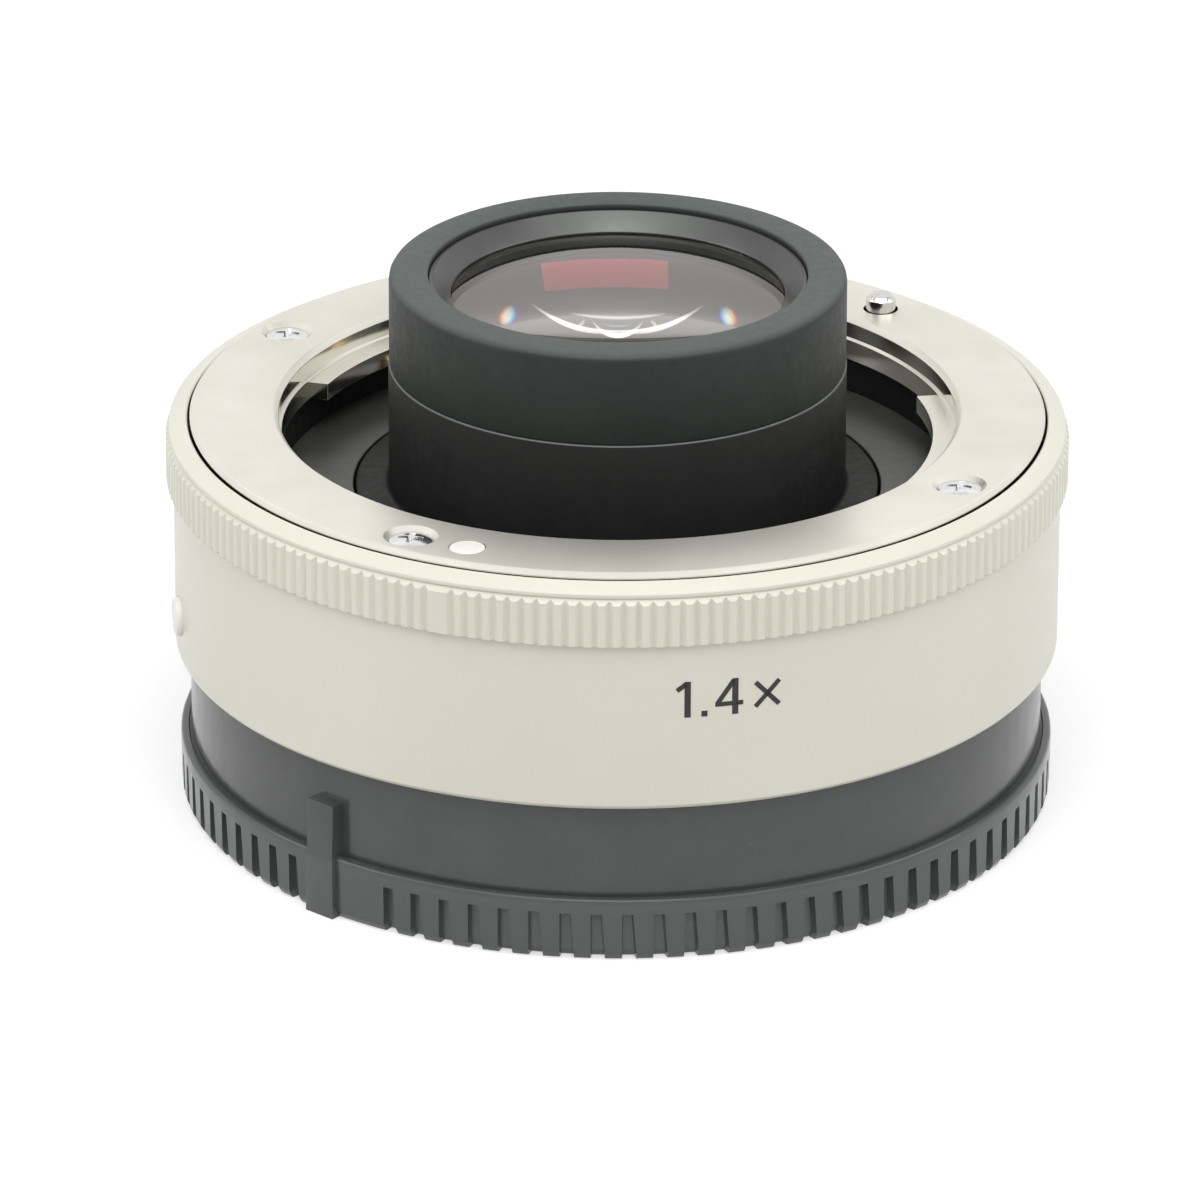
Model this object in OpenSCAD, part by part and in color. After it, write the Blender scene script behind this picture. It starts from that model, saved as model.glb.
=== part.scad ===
// Camera teleconverter standing on its rear cap: a short barrel that goes
// between a camera body and a tele lens and enlarges the picture.
// Millimetres. +Z runs along the optical axis towards the lens, and the
// origin is the centre of the rear cap's underside. Azimuths are counted
// in degrees from +X, counter-clockwise seen from the lens side.

/* [Barrel] */
// Wall of the white barrel
barrel_wall = 1.1; // [0.9:0.1:1.4]
// Height of the knurl above the smooth white barrel
knurl_rise = 0.5; // [0.4:0.05:0.8]
// Distance from the lens flange down to the camera flange
mount_distance = 20; // [19.5:0.1:24]
// Height of the white barrel's lower edge above the camera flange
barrel_rise = 3.25; // [3:0.05:3.6]
// Height of the knurled band
knurl_h = 3.4; // [2:0.1:4]
// Number of knurl ridges around the ring
knurl_count = 200; // [120:20:200]
// Depth of the knurl grooves
knurl_depth = 0.3; // [0.2:0.05:0.4]
// Height of the raised dot above the white barrel
dot_rise = 0.45; // [0.2:0.05:0.45]
// Diameter of the raised dot that lines up with the camera
dot_d = 2.8; // [2:0.1:4]
// Azimuth of the raised dot
dot_az = 191; // [180:0.1:200]

/* [Lens mount] */
// Width of the throat floor, from the nose's foot to the bore
throat_w = 5.3; // [4.8:0.1:6]
// Width of the flange plate around the bore
flange_w = 6.15; // [5.6:0.05:7]
// Length of the bayonet lugs inwards from the bore
lug_depth = 1.6; // [1.2:0.1:2]
// Thickness of the flange plate
flange_t = 1.5; // [1.3:0.1:1.7]
// Thickness of the bayonet lugs
lug_t = 1.5; // [1.3:0.1:1.7]
// Depth of the throat floor below the flange
throat_depth = 5.5; // [5.2:0.1:5.8]
// Distance of the flange screws from the flange's edge
screw_inset = 2.55; // [2.3:0.05:2.8]
// Azimuth of the first flange screw
screw_az = 59.3; // [56:0.1:62]
// Diameter of the countersinks in the flanges
sink_d = 3.5; // [3.2:0.1:3.7]
// Diameter of the flange screws' thread
screw_d = 1.6; // [1.4:0.1:1.7]
// Azimuth of the white dot on the flange
index_az = 248.3; // [246:0.1:250]
// Diameter of the white dot on the flange
index_d = 2.5; // [2:0.1:2.8]

/* [Lens lock] */
// Azimuth of the lock pin and of the release button
lock_az = 45; // [40:0.5:47]
// Distance of the lock pin from the barrel's bore
pin_inset = 3.3; // [3.1:0.05:3.5]
// Diameter of the lock pin
pin_d = 2.1; // [1.8:0.1:2.2]
// Height of the lock pin above the flange
pin_rise = 1.1; // [0.8:0.1:1.3]
// Travel of the release button, and of the pin
lock_travel = 1.2; // [1:0.1:1.3]
// Distance of the release button's centre below the flange
button_drop = 9.5; // [9.2:0.1:9.8]
// Width of the release button around the barrel
button_w = 9; // [8:0.1:9.6]
// Height of the release button along the barrel
button_h = 5; // [4.6:0.1:5.4]

/* [Nose] */
// Clear diameter of the front glass
glass_clear_d = 23; // [21:0.1:25]
// Width of the ring that holds the front glass
glass_ring_w = 1.55; // [1.4:0.05:1.8]
// Width of the nose's flat front rim
rim_w = 2.75; // [2.4:0.05:3.2]
// Width of the flange at the foot of the nose
foot_w = 2.3; // [2:0.1:2.8]
// Height of the nose above the flange
nose_rise = 10; // [9:0.1:11]
// Height of the seam in the nose above the flange
nose_seam_rise = 3.47; // [3:0.05:4.4]

/* [Contacts] */
// Number of signal contacts
contact_count = 10; // [6:1:10]
// Distance of the contacts from the edge of the nose's foot
contact_inset = 1.3; // [1.25:0.05:1.6]
// Diameter of a contact pin
contact_d = 0.9; // [0.7:0.05:0.95]
// Azimuth of the middle of the contact row
contact_az = 104; // [102:0.5:106]
// Angle between neighbouring contacts
contact_pitch = 5.6; // [5.4:0.1:5.8]
// Travel of the sprung contact pins
contact_travel = 0.6; // [0.4:0.05:0.6]

/* [Camera mount] */
// Distance of the camera flange's edge inside the chassis wall
camera_inset = 1.35; // [1.2:0.05:1.6]
// Thickness of the camera flange plate
camera_flange_t = 1.5; // [1.4:0.1:1.7]
// Wall of the male bayonet tube
tube_wall = 0.8; // [0.7:0.05:1]
// Length of the male bayonet lugs outwards from the tube
male_lug_depth = 1.7; // [1.4:0.1:1.8]
// Depth of the male bayonet below the camera flange
male_h = 4.4; // [4.3:0.1:5]
// Thickness of the male bayonet lugs
male_lug_t = 1.1; // [1:0.1:1.2]

/* [Rear cap] */
// Wall of the cap's smooth skirt
skirt_wall = 1.15; // [1:0.05:1.3]
// Height of the ribbed rim above the skirt
rim_rise = 0.75; // [0.6:0.05:1]
// Height of the ribbed rim
rim_h = 4.5; // [4:0.1:5]
// Thickness of the cap's floor
cap_floor_t = 1.8; // [1.4:0.1:2.4]
// Room between the cap's floor and the male bayonet
cap_room = 1.8; // [1.2:0.1:3]
// Number of rib pitches around the rim
rib_count = 90; // [60:6:96]
// Depth of the grooves between the ribs
rib_depth = 0.9; // [0.5:0.1:1]
// Height of the plain band above the grooves
rib_top_band = 1.2; // [0.8:0.1:1.6]
// Azimuth of the tab on the cap
tab_az = 229.5; // [226:0.5:232]
// Width of the tab
tab_w = 2.5; // [2:0.1:3]
// Height of the tab above the ribbed rim
tab_h = 4.4; // [3:0.1:5]

/* [Hidden] */
$fn = 120;
ball_fn = 240;
eps = 0.5;

// Clearances
seat_gap = 0.05;
run_gap = 0.05;
loose_gap = 0.15;
turn_gap = 0.3;
turn_gap_z = 0.1;
cement_gap = 0.02;
lens_gap = 0.1;

// Heights of the main planes
tube_z = cap_floor_t + cap_room;
camera_z = tube_z + male_h;
flange_z = camera_z + mount_distance;
plate_z = flange_z - flange_t;
lug_z = plate_z - lug_t;
floor_z = flange_z - throat_depth;
floor_t = 1;
barrel_z = camera_z + barrel_rise;
chassis_z = camera_z + camera_flange_t;
nose_top_z = flange_z + nose_rise;
seam_z = flange_z + nose_seam_rise;
dot_lift = 3.35;
dot_z = barrel_z + dot_lift;

// Radii of the main surfaces, outwards from the front glass
glass_clear_r = glass_clear_d / 2;
rim_bore_r = glass_clear_r + glass_ring_w;
nose_r = rim_bore_r + rim_w;
foot_r = nose_r + foot_w;
contact_r = foot_r + contact_inset;
throat_r = foot_r + throat_w;
lug_r = throat_r - lug_depth;
flange_r = throat_r + flange_w;
screw_r = flange_r - screw_inset;
chassis_r = flange_r;
barrel_bore_r = chassis_r + seat_gap;
barrel_r = barrel_bore_r + barrel_wall;
max_r = barrel_r + knurl_rise;
pin_r = barrel_bore_r - pin_inset;

// Radii of the camera mount and of the cap
block_half_w = 1.05;
tube_bore_r = contact_r + block_half_w + loose_gap;
tube_r = tube_bore_r + tube_wall;
male_lug_r = tube_r + male_lug_depth;
camera_flange_r = chassis_r - camera_inset;
camera_screw_r = (male_lug_r + camera_flange_r) / 2;
skirt_bore_r = camera_flange_r + turn_gap;
skirt_r = skirt_bore_r + skirt_wall;
cap_r = skirt_r + rim_rise;

// Bayonet lugs as pairs of azimuths, uneven so that they only fit one way
lug_spans = [[100, 158], [218, 270], [319, 377]];
male_lug_trim = 1;
male_lug_lift = 0.2;
cap_lug_angle = 36;
collar_t = 1;
collar_r = throat_r + collar_t;
gap_step = 0.08;
edge = 0.3;

// Knurled ring, stacked on the white barrel
knurl_drop = 1.33;
knurl_seam = 0.05;
shoulder_drop = 0.92;
shoulder_inset = 0.2;
lip_drop = 0.38;
lip_gap = 0.28;
knurl_top_z = flange_z - knurl_drop;
knurl_z = knurl_top_z - knurl_h;
ring_z = knurl_z - knurl_seam;
ring_shoulder_z = flange_z - shoulder_drop;
ring_shoulder_r = max_r - shoulder_inset;
ring_lip_z = flange_z - lip_drop;
ring_lip_r = flange_r + lip_gap;
index_land = 1.5;

// Chassis webs and walls
chassis_wall = 1.7;
chassis_inner_r = chassis_r - chassis_wall;
foot_t = 3;
web_z = floor_z - foot_t;
web_t = 2;
ledge_t = 0.8;
ledge_w = 1;
ledge_r = throat_r - ledge_w;
boss_r = 1.9;
boss_h = 2.5;
screw_len = 5.8;
camera_screw_len = 3.1;
camera_screw_az = 20;

// Lens barrel: the rear tube below the foot, and the glass seats
thread_w = 0.3;
bore_step = 1.15;
rear_wall = 1.8;
shoulder_w = 1;
shoulder_t = 1.2;
rear_tube_rise = 1.4;
front_bore_r = rim_bore_r - thread_w;
rear_bore_r = front_bore_r - bore_step;
rear_tube_r = rear_bore_r + rear_wall;
rear_tube_z = camera_z + rear_tube_rise;
shoulder_r = rear_bore_r - shoulder_w;
front_glass_r = front_bore_r - lens_gap;
rear_glass_r = rear_bore_r - lens_gap;
spacer_wall = 1.1;
rim_step = 0.4;
rim_chamfer = 0.4;
hood_step = 0.05;
lens_screw_az = 30;
lens_screw_r = (foot_r + rear_tube_r) / 2 + 0.2;
lens_screw_depth = 2;

// Glass: surface radii, centre thicknesses and air gaps, vertices and edges
front_ball = 50;
front_back_ball = 140;
front_glass_t = 4;
front_dip = 0.35;
front_air = 2.35;
front_vertex_z = nose_top_z - front_dip;
front_low_z = front_vertex_z - front_glass_t;
front_ring_z = front_vertex_z - sag(front_ball, glass_clear_r) + cement_gap;
doublet_top_ball = 45;
doublet_mid_ball = 40;
convex_t = 4.5;
concave_t = 1.2;
doublet_top_z = front_low_z - front_air;
doublet_mid_z = doublet_top_z - convex_t;
shoulder_z = doublet_mid_z - concave_t;
biconcave_top_ball = 60;
biconcave_low_ball = 32;
biconcave_t = 1.4;
biconcave_z = shoulder_z - shoulder_t;
biconcave_top_z = biconcave_z - sag(biconcave_top_ball, shoulder_r);
biconcave_low_z = biconcave_top_z - biconcave_t;
spacer_r = rear_glass_r - spacer_wall;
biconcave_edge_z = biconcave_low_z - sag(biconcave_low_ball, spacer_r);
biconvex_top_ball = 34;
biconvex_low_ball = 60;
biconvex_t = 4.3;
middle_air = 1.5;
biconvex_top_z = biconcave_low_z - middle_air;
biconvex_low_z = biconvex_top_z - biconvex_t;
rear_top_ball = 36;
rear_low_ball = 60;
rear_t = 1.5;
rear_dip = 0.62;
rear_low_z = rear_tube_z + rear_dip;
rear_top_z = rear_low_z + rear_t;
rear_edge_z = rear_top_z + sag(rear_top_ball, spacer_r);
front_spacer_r = front_glass_r - spacer_wall;
notch_azimuths = [20, 200];

// Release button and lock pin, in the lock's own frame: x outwards, y around
button_z = flange_z - button_drop;
button_dip = 0.05;
button_face_r = max_r - button_dip;
button_lift = 0.6;
button_flange_t = 0.7;
button_flange_rim = 0.8;
button_flange_r = barrel_bore_r - button_lift;
button_back_r = button_flange_r - button_flange_t;
pin_hole_gap = 0.175;
pin_hole_r = pin_d / 2 + pin_hole_gap;
foot_half = 2.4;
foot_h = 3.2;
foot_tail = 1.6;
foot_in_r = pin_r - foot_tail;
foot_out_r = button_back_r - lock_travel - turn_gap;
prong_in = pin_d / 2 + 0.25;
prong_reach = 0.7;
prong_tip_r = pin_r - prong_reach;
prong_foot = 1;
pocket_side = 0.9;
pocket_half = button_w / 2 + button_flange_rim + pocket_side;
pocket_in_r = prong_tip_r - lock_travel - turn_gap;
pocket_z = barrel_z + edge;
pocket_top_z = button_z + button_h / 2 + button_flange_rim + turn_gap;
pin_foot_drop = 2.3;
pin_foot_z = button_z - pin_foot_drop;
wedge_gap = 0.1;
prong_top = 1.9;
tail_r = 0.8;
tail_h = 2;
slope_reach = button_w + button_h;
pin_spring_gap = 0.45;
pin_spring_r = tail_r + pin_spring_gap;
pin_spring_wire = 0.2;
button_spring_r = 0.75;
button_spring_wire = 0.15;
button_spring_gap = 1.4;
button_spring_y = foot_half + button_spring_gap;
spring_turns = 5;
spring_rings = 12;
wire_sides = 6;

// Contacts: the block stands on the circuit board and passes the floor
board_t = 0.8;
board_z = web_z + board_t;
board_inset = 0.2;
board_out_r = ledge_r - board_inset;
board_span = 110;
block_rise = 1.1;
block_end = 6;
block_span = (contact_count - 1) * contact_pitch + 2 * block_end;
slot_end = 0.5;
block_z = floor_z + block_rise;
tip_rise = 0.2;
pin_tip_z = block_z + contact_travel + tip_rise;
pin_head_t = 0.3;
pin_head_rim = 0.2;
pin_head_r = contact_d / 2 + pin_head_rim;
spring_solid = 1;
pin_head_z = board_z + contact_travel + spring_solid;
flex_t = 0.15;
flex_span = 22;
flex_inset = 0.7;
flex_r = contact_r - flex_inset;
flex_slot = 0.5;
flex_slot_end = 2;
pad_t = 0.3;
pad_w = 0.9;
pad_l = 1.5;
rear_recess = 1;
rear_block_z = tube_z + rear_recess;
rear_block_t = 2.6;
baffle_z = rear_block_z + rear_block_t - floor_t;
baffle_r = tube_bore_r - seat_gap;
baffle_wall = 0.8;
baffle_lift = 0.5;
window_w = 24;
window_h = 18;

// Rear cap
skirt_top_z = barrel_z - loose_gap;
well_gap = 0.5;
well_r = male_lug_r + well_gap;
well_wall = 1.4;
cap_lug_z = tube_z + male_lug_lift + male_lug_t + loose_gap;
cap_lug_t = 1.3;
cap_lug_gap = 0.35;
cap_lug_r = tube_r + cap_lug_gap;
tab_rise = 0.35;
tab_out_r = cap_r + tab_rise;
tab_root = 0.6;
rib_share = 0.36;
rib_inset = 0.05;
tab_land = 6;

// Drop of a ball's surface from its vertex at a distance r from the axis
function sag(ball, r) = ball - sqrt(ball * ball - r * r);

// Outline of a wheel with trapezoid grooves, left out around skip_az
function wheel(count, r, depth, share, skip_az, skip_half) = [
    for (i = [0:count - 1], k = [0:3])
        let (pitch = 360 / count)
        let (mid = (i + 0.5) * pitch)
        let (bare = abs(mid - skip_az) < skip_half)
        let (half = share / 2 * (k == 1 || k == 2 ? 0.7 : 1))
        let (a = mid + pitch * half * (k < 2 ? -1 : 1))
        let (rr = (k == 1 || k == 2) && !bare ? r - depth : r)
        [rr * cos(a), rr * sin(a)]];

// Points and faces of a spring of round wire, standing on z = 0
function coil_points(r, wire, len, turns, rings, sides) = [
    for (i = [0:turns * rings], k = [0:sides - 1])
        let (a = 360 * i / rings)
        let (b = 360 * k / sides)
        let (z = wire + (len - 2 * wire) * i / (turns * rings))
        let (rr = r + wire * cos(b))
        [rr * cos(a), rr * sin(a), z + wire * sin(b)]];
function coil_sides(rings, sides) = [
    for (i = [0:rings - 1], k = [0:sides - 1], h = [0, 1])
        let (n = (k + 1) % sides)
        let (p = i * sides)
        h == 0 ? [p + k, p + n, p + sides + k] : [p + n, p + sides + n, p + sides + k]];
function coil_caps(rings, sides) = [
    [for (k = [0:sides - 1]) sides - 1 - k],
    [for (k = [0:sides - 1]) rings * sides + k]];

module coil(r, wire, len, turns, rings, sides) {
    polyhedron(coil_points(r, wire, len, turns, rings, sides),
        concat(coil_sides(turns * rings, sides), coil_caps(turns * rings, sides)));
}

module turned(outline) {
    rotate_extrude() polygon(outline);
}

module tube(inner, outer, z0, z1) {
    rotate_extrude() translate([inner, z0]) square([outer - inner, z1 - z0]);
}

module sector(inner, outer, z0, z1, a0, a1) {
    rotate([0, 0, a0]) rotate_extrude(angle = a1 - a0)
        translate([inner, z0]) square([outer - inner, z1 - z0]);
}

module at(az, r, z) {
    rotate([0, 0, az]) translate([r, 0, z]) children();
}

module block(x0, x1, half_y, z0, z1) {
    translate([x0, -half_y, z0]) cube([x1 - x0, 2 * half_y, z1 - z0]);
}

// Ball whose top (bulge 1) or bottom (bulge -1) lies at the height z of a glass vertex
module ball_face(z, ball, bulge) {
    translate([0, 0, z - bulge * ball]) sphere(ball, $fn = ball_fn);
}

// Countersunk flange screws, with their heads up at z = 0 of the flange face
module sunk_screw(len) {
    head_r = sink_d / 2 - 0.3;
    head_drop = 0.25;
    shank_r = screw_d / 2;
    slot_w = 0.42;
    slot_half = 0.95;
    slot_depth = 0.5;
    slot_turn = 20;
    difference() {
        union() {
            translate([0, 0, -head_drop - head_r + shank_r])
                cylinder(r1 = shank_r, r2 = head_r, h = head_r - shank_r);
            translate([0, 0, -len]) cylinder(r = shank_r, h = len - head_drop - 0.2);
        }
        for (a = [0, 90]) rotate([0, 0, a + slot_turn])
            block(-slot_half, slot_half, slot_w / 2, -head_drop - slot_depth, eps);
    }
}

module sunk_hole(len) {
    hole_r = screw_d / 2 + seat_gap;
    sink_r = sink_d / 2;
    translate([0, 0, hole_r - sink_r]) cylinder(r1 = hole_r, r2 = sink_r, h = sink_r - hole_r);
    translate([0, 0, -len]) cylinder(r = hole_r, h = len);
    cylinder(r = sink_r, h = eps);
}

module front_screw_places() {
    for (i = [0:3]) at(screw_az + 90 * i, screw_r, flange_z) children();
}

module rear_screw_places() {
    for (i = [0:3]) at(camera_screw_az + 90 * i, camera_screw_r, camera_z)
        mirror([0, 0, 1]) children();
}

module lens_screw_places() {
    for (i = [0:2]) at(lens_screw_az + 120 * i, lens_screw_r, web_z) children();
}

module contact_places() {
    middle = (contact_count - 1) / 2;
    for (i = [0:contact_count - 1])
        at(contact_az + contact_pitch * (i - middle), contact_r, 0) children();
}

module front_mount_ring() {
    color("silver") difference() {
        union() {
            turned([[throat_r, plate_z], [flange_r, plate_z], [flange_r, flange_z - edge],
                [flange_r - edge, flange_z], [throat_r + edge, flange_z], [throat_r, flange_z - edge]]);
            tube(throat_r - gap_step, collar_r, lug_z, plate_z);
            tube(throat_r, collar_r, lug_z, plate_z + edge);
            for (span = lug_spans) sector(lug_r, throat_r + edge, lug_z, plate_z, span[0], span[1]);
        }
        front_screw_places() sunk_hole(flange_t + eps);
        at(index_az, screw_r, flange_z - flange_t / 2) cylinder(r = index_d / 2, h = flange_t);
        at(lock_az, pin_r, plate_z - eps) cylinder(r = pin_hole_r, h = flange_t + 2 * eps);
    }
}

module front_mount_screws() {
    color("gainsboro") front_screw_places() sunk_screw(screw_len);
}

module front_index_dot() {
    index_dip = 0.1;
    color("white") at(index_az, screw_r, flange_z - flange_t / 2)
        cylinder(r = index_d / 2 - seat_gap, h = flange_t / 2 - index_dip);
}

// The pin hangs on a foot whose sloped shoulders the button's prongs push
module lock_pin() {
    pin_end = pin_foot_z - tail_h;
    tip_z = flange_z + pin_rise - edge;
    color("lightgray") rotate([0, 0, lock_az]) {
        translate([pin_r, 0, pin_foot_z]) cylinder(r = pin_d / 2, h = tip_z - pin_foot_z);
        translate([pin_r, 0, tip_z]) cylinder(r1 = pin_d / 2, r2 = pin_d / 2 - edge, h = edge);
        translate([pin_r, 0, pin_end]) cylinder(r = tail_r, h = tail_h + eps);
        difference() {
            block(foot_in_r, foot_out_r, foot_half, pin_foot_z, pin_foot_z + foot_h);
            lock_slope();
        }
    }
}

// Space above the 45 degree plane through the pin's axis at the button's middle
module lock_slope() {
    translate([pin_r, 0, button_z]) rotate([0, 45, 0])
        block(-slope_reach, slope_reach, slope_reach, 0, slope_reach);
}

module lock_pin_spring() {
    color("silver") at(lock_az, pin_r, pocket_z)
        coil(pin_spring_r, pin_spring_wire, pin_foot_z - pocket_z, spring_turns, spring_rings, wire_sides);
}

module button_shape(grow) {
    flat = button_w - button_h;
    rotate([90, 0, 90]) linear_extrude(max_r) {
        for (s = [-1, 1]) translate([s * flat / 2, 0]) circle(button_h / 2 + grow);
        square([flat, button_h + 2 * grow], center = true);
    }
}

module release_button() {
    color("white") rotate([0, 0, lock_az]) difference() {
        union() {
            intersection() {
                translate([0, 0, button_z]) button_shape(0);
                tube(button_flange_r - edge, button_face_r, button_z - button_h, button_z + button_h);
            }
            intersection() {
                translate([0, 0, button_z]) button_shape(button_flange_rim);
                block(button_back_r, button_flange_r, button_w, 0, flange_z);
            }
            difference() {
                block(prong_tip_r, button_flange_r - edge, foot_half, pin_foot_z + prong_foot,
                    button_z + prong_top);
                block(0, button_back_r, prong_in, 0, flange_z);
            }
        }
        lock_floor();
        translate([pin_r + lock_travel, 0, 0]) cylinder(r = pin_d / 2 + turn_gap, h = flange_z);
    }
}

// Space below the plane that the prongs slide on
module lock_floor() {
    intersection() {
        translate([pin_r, 0, button_z + wedge_gap * sqrt(2)]) rotate([0, 45, 0])
            block(-slope_reach, slope_reach, slope_reach, -slope_reach, 0);
        block(0, button_back_r, slope_reach, 0, flange_z);
    }
}

module release_springs() {
    color("silver") rotate([0, 0, lock_az]) for (s = [-1, 1])
        translate([pocket_in_r, s * button_spring_y, button_z]) rotate([0, 90, 0])
            coil(button_spring_r, button_spring_wire, button_back_r - pocket_in_r, spring_turns,
                spring_rings, wire_sides);
}

module knurled_ring() {
    color("whitesmoke") difference() {
        union() {
            turned([[barrel_bore_r, ring_z], [barrel_r, ring_z], [barrel_r, knurl_top_z],
                [ring_shoulder_r, knurl_top_z + 2 * knurl_seam], [ring_shoulder_r, ring_shoulder_z],
                [ring_lip_r, ring_lip_z], [barrel_bore_r, ring_lip_z]]);
            translate([0, 0, knurl_z]) linear_extrude(knurl_h)
                polygon(wheel(knurl_count, max_r, knurl_depth, rib_share, index_az, index_land));
        }
        translate([0, 0, ring_z - eps]) cylinder(r = barrel_bore_r, h = 2 * knurl_h + 2 * eps);
    }
}

module outer_barrel() {
    color("whitesmoke") difference() {
        turned([[barrel_bore_r, barrel_z], [barrel_r - edge, barrel_z], [barrel_r, barrel_z + edge],
            [barrel_r, ring_z], [barrel_bore_r, ring_z]]);
        rotate([0, 0, lock_az]) translate([0, 0, button_z]) button_shape(loose_gap);
        at(dot_az, chassis_inner_r, dot_z) rotate([0, 90, 0])
            cylinder(r = dot_d / 2, h = barrel_r - chassis_inner_r + eps);
    }
}

module camera_index_dot() {
    seat_r = chassis_r + 0.25;
    top_r = barrel_r + dot_rise;
    dome = 0.25;
    dot_r = dot_d / 2 - seat_gap;
    color("white") at(dot_az, 0, dot_z) rotate([0, 90, 0]) {
        translate([0, 0, seat_r]) cylinder(r = dot_r, h = top_r - seat_r - dome);
        translate([0, 0, top_r - dome]) cylinder(r1 = dot_r, r2 = dot_r - dome, h = dome);
    }
}

module chassis() {
    color([0.13, 0.13, 0.14]) difference() {
        union() {
            tube(throat_r, chassis_r, floor_z - floor_t - ledge_t, plate_z);
            tube(ledge_r, throat_r + edge, floor_z - floor_t - ledge_t, floor_z - floor_t);
            tube(chassis_inner_r, chassis_r, barrel_z, floor_z);
            tube(rear_tube_r + lens_gap, chassis_inner_r + edge, web_z - web_t, web_z);
            tube(tube_bore_r, camera_flange_r, chassis_z, barrel_z);
            tube(tube_bore_r, chassis_r, barrel_z, barrel_z + edge);
            rear_screw_places() translate([0, 0, -barrel_rise - boss_h])
                cylinder(r = boss_r, h = boss_h + eps);
        }
        tube(throat_r - eps, collar_r + seat_gap, lug_z, plate_z + eps);
        front_screw_places() screw_bore(screw_len, screw_len + eps);
        rear_screw_places() screw_bore(camera_screw_len, camera_screw_len + eps);
        lens_screw_places() screw_bore(web_t + 2 * eps, web_t + eps);
        at(lock_az, pin_r, pocket_top_z - eps)
            cylinder(r = pin_d / 2 + run_gap, h = flange_z - pocket_top_z);
        rotate([0, 0, lock_az]) block(pocket_in_r, max_r, pocket_half, pocket_z, pocket_top_z);
        flex_way(web_z - web_t - eps, web_z + eps);
    }
}

// Hole for a screw's thread, from drop below the place's own height
module screw_bore(len, drop) {
    translate([0, 0, -drop]) cylinder(r = screw_d / 2 + seat_gap, h = len);
}

// Slot that the flat cable passes
module flex_way(z0, z1) {
    half = flex_span / 2 + flex_slot_end;
    sector(flex_r - flex_slot, flex_r + flex_slot, z0, z1, contact_az - half, contact_az + half);
}

module throat_floor() {
    slot = block_span / 2 + slot_end;
    color([0.1, 0.1, 0.11]) difference() {
        tube(foot_r + loose_gap, throat_r - seat_gap, floor_z - floor_t, floor_z);
        sector(contact_r - block_half_w - loose_gap, contact_r + block_half_w + loose_gap,
            floor_z - floor_t - eps, floor_z + eps, contact_az - slot, contact_az + slot);
    }
}

module nose_barrel() {
    color([0.08, 0.08, 0.09]) difference() {
        turned([[rear_bore_r, rear_tube_z], [rear_tube_r, rear_tube_z], [rear_tube_r, web_z],
            [foot_r, web_z], [foot_r, floor_z - edge], [foot_r - edge, floor_z], [nose_r, floor_z],
            [nose_r, seam_z - edge], [nose_r - edge, seam_z], [front_bore_r, seam_z],
            [front_bore_r, shoulder_z], [shoulder_r, shoulder_z], [shoulder_r, biconcave_z],
            [rear_bore_r, biconcave_z]]);
        lens_screw_places() screw_bore(lens_screw_depth + loose_gap + eps, eps);
    }
}

module nose_hood() {
    thread_z = front_ring_z - thread_w;
    hood_r = nose_r - hood_step;
    color([0.08, 0.08, 0.09]) turned([[front_bore_r, seam_z], [nose_r - edge, seam_z],
        [hood_r, seam_z + edge], [hood_r, nose_top_z - rim_chamfer], [nose_r - rim_chamfer, nose_top_z],
        [rim_bore_r, nose_top_z], [rim_bore_r, thread_z], [front_bore_r, thread_z]]);
}

module front_retaining_ring() {
    ring_top_z = nose_top_z - rim_step;
    ring_r = rim_bore_r - seat_gap;
    ring_edge = 0.2;
    ring_lip = 0.12;
    notch = 1.2;
    notch_depth = 0.7;
    color([0.12, 0.12, 0.13]) difference() {
        turned([[glass_clear_r, front_ring_z], [ring_r, front_ring_z], [ring_r, ring_top_z],
            [ring_r - ring_edge, ring_top_z], [glass_clear_r, front_ring_z + ring_lip]]);
        for (a = notch_azimuths) rotate([0, 0, a])
            block(ring_r - notch_depth, ring_r + eps, notch / 2, ring_top_z - eps, nose_top_z);
    }
}

module lens_front() {
    color([0.55, 0.45, 0.6, 0.5]) intersection() {
        translate([0, 0, front_low_z]) cylinder(r = front_glass_r, h = front_glass_t);
        ball_face(front_vertex_z, front_ball, 1);
        ball_face(front_low_z, front_back_ball, -1);
    }
}

module lens_doublet_convex() {
    color([0.6, 0.6, 0.75, 0.5]) intersection() {
        translate([0, 0, doublet_mid_z]) cylinder(r = front_glass_r, h = doublet_top_z - doublet_mid_z);
        ball_face(doublet_top_z, doublet_top_ball, 1);
        ball_face(doublet_mid_z, doublet_mid_ball, -1);
    }
}

module lens_doublet_concave() {
    rim_z = doublet_mid_z + sag(doublet_mid_ball, front_glass_r);
    color([0.6, 0.6, 0.75, 0.5]) difference() {
        translate([0, 0, shoulder_z]) cylinder(r = front_glass_r, h = rim_z - shoulder_z - cement_gap);
        ball_face(doublet_mid_z - cement_gap, doublet_mid_ball, -1);
    }
}

module lens_biconcave() {
    color([0.6, 0.7, 0.7, 0.5]) difference() {
        translate([0, 0, biconcave_edge_z]) cylinder(r = rear_glass_r, h = biconcave_z - biconcave_edge_z);
        ball_face(biconcave_top_z, biconcave_top_ball, -1);
        ball_face(biconcave_low_z, biconcave_low_ball, 1);
    }
}

module lens_biconvex() {
    color([0.6, 0.7, 0.7, 0.5]) intersection() {
        translate([0, 0, biconvex_low_z]) cylinder(r = rear_glass_r, h = biconvex_t);
        ball_face(biconvex_top_z, biconvex_top_ball, 1);
        ball_face(biconvex_low_z, biconvex_low_ball, -1);
    }
}

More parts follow.
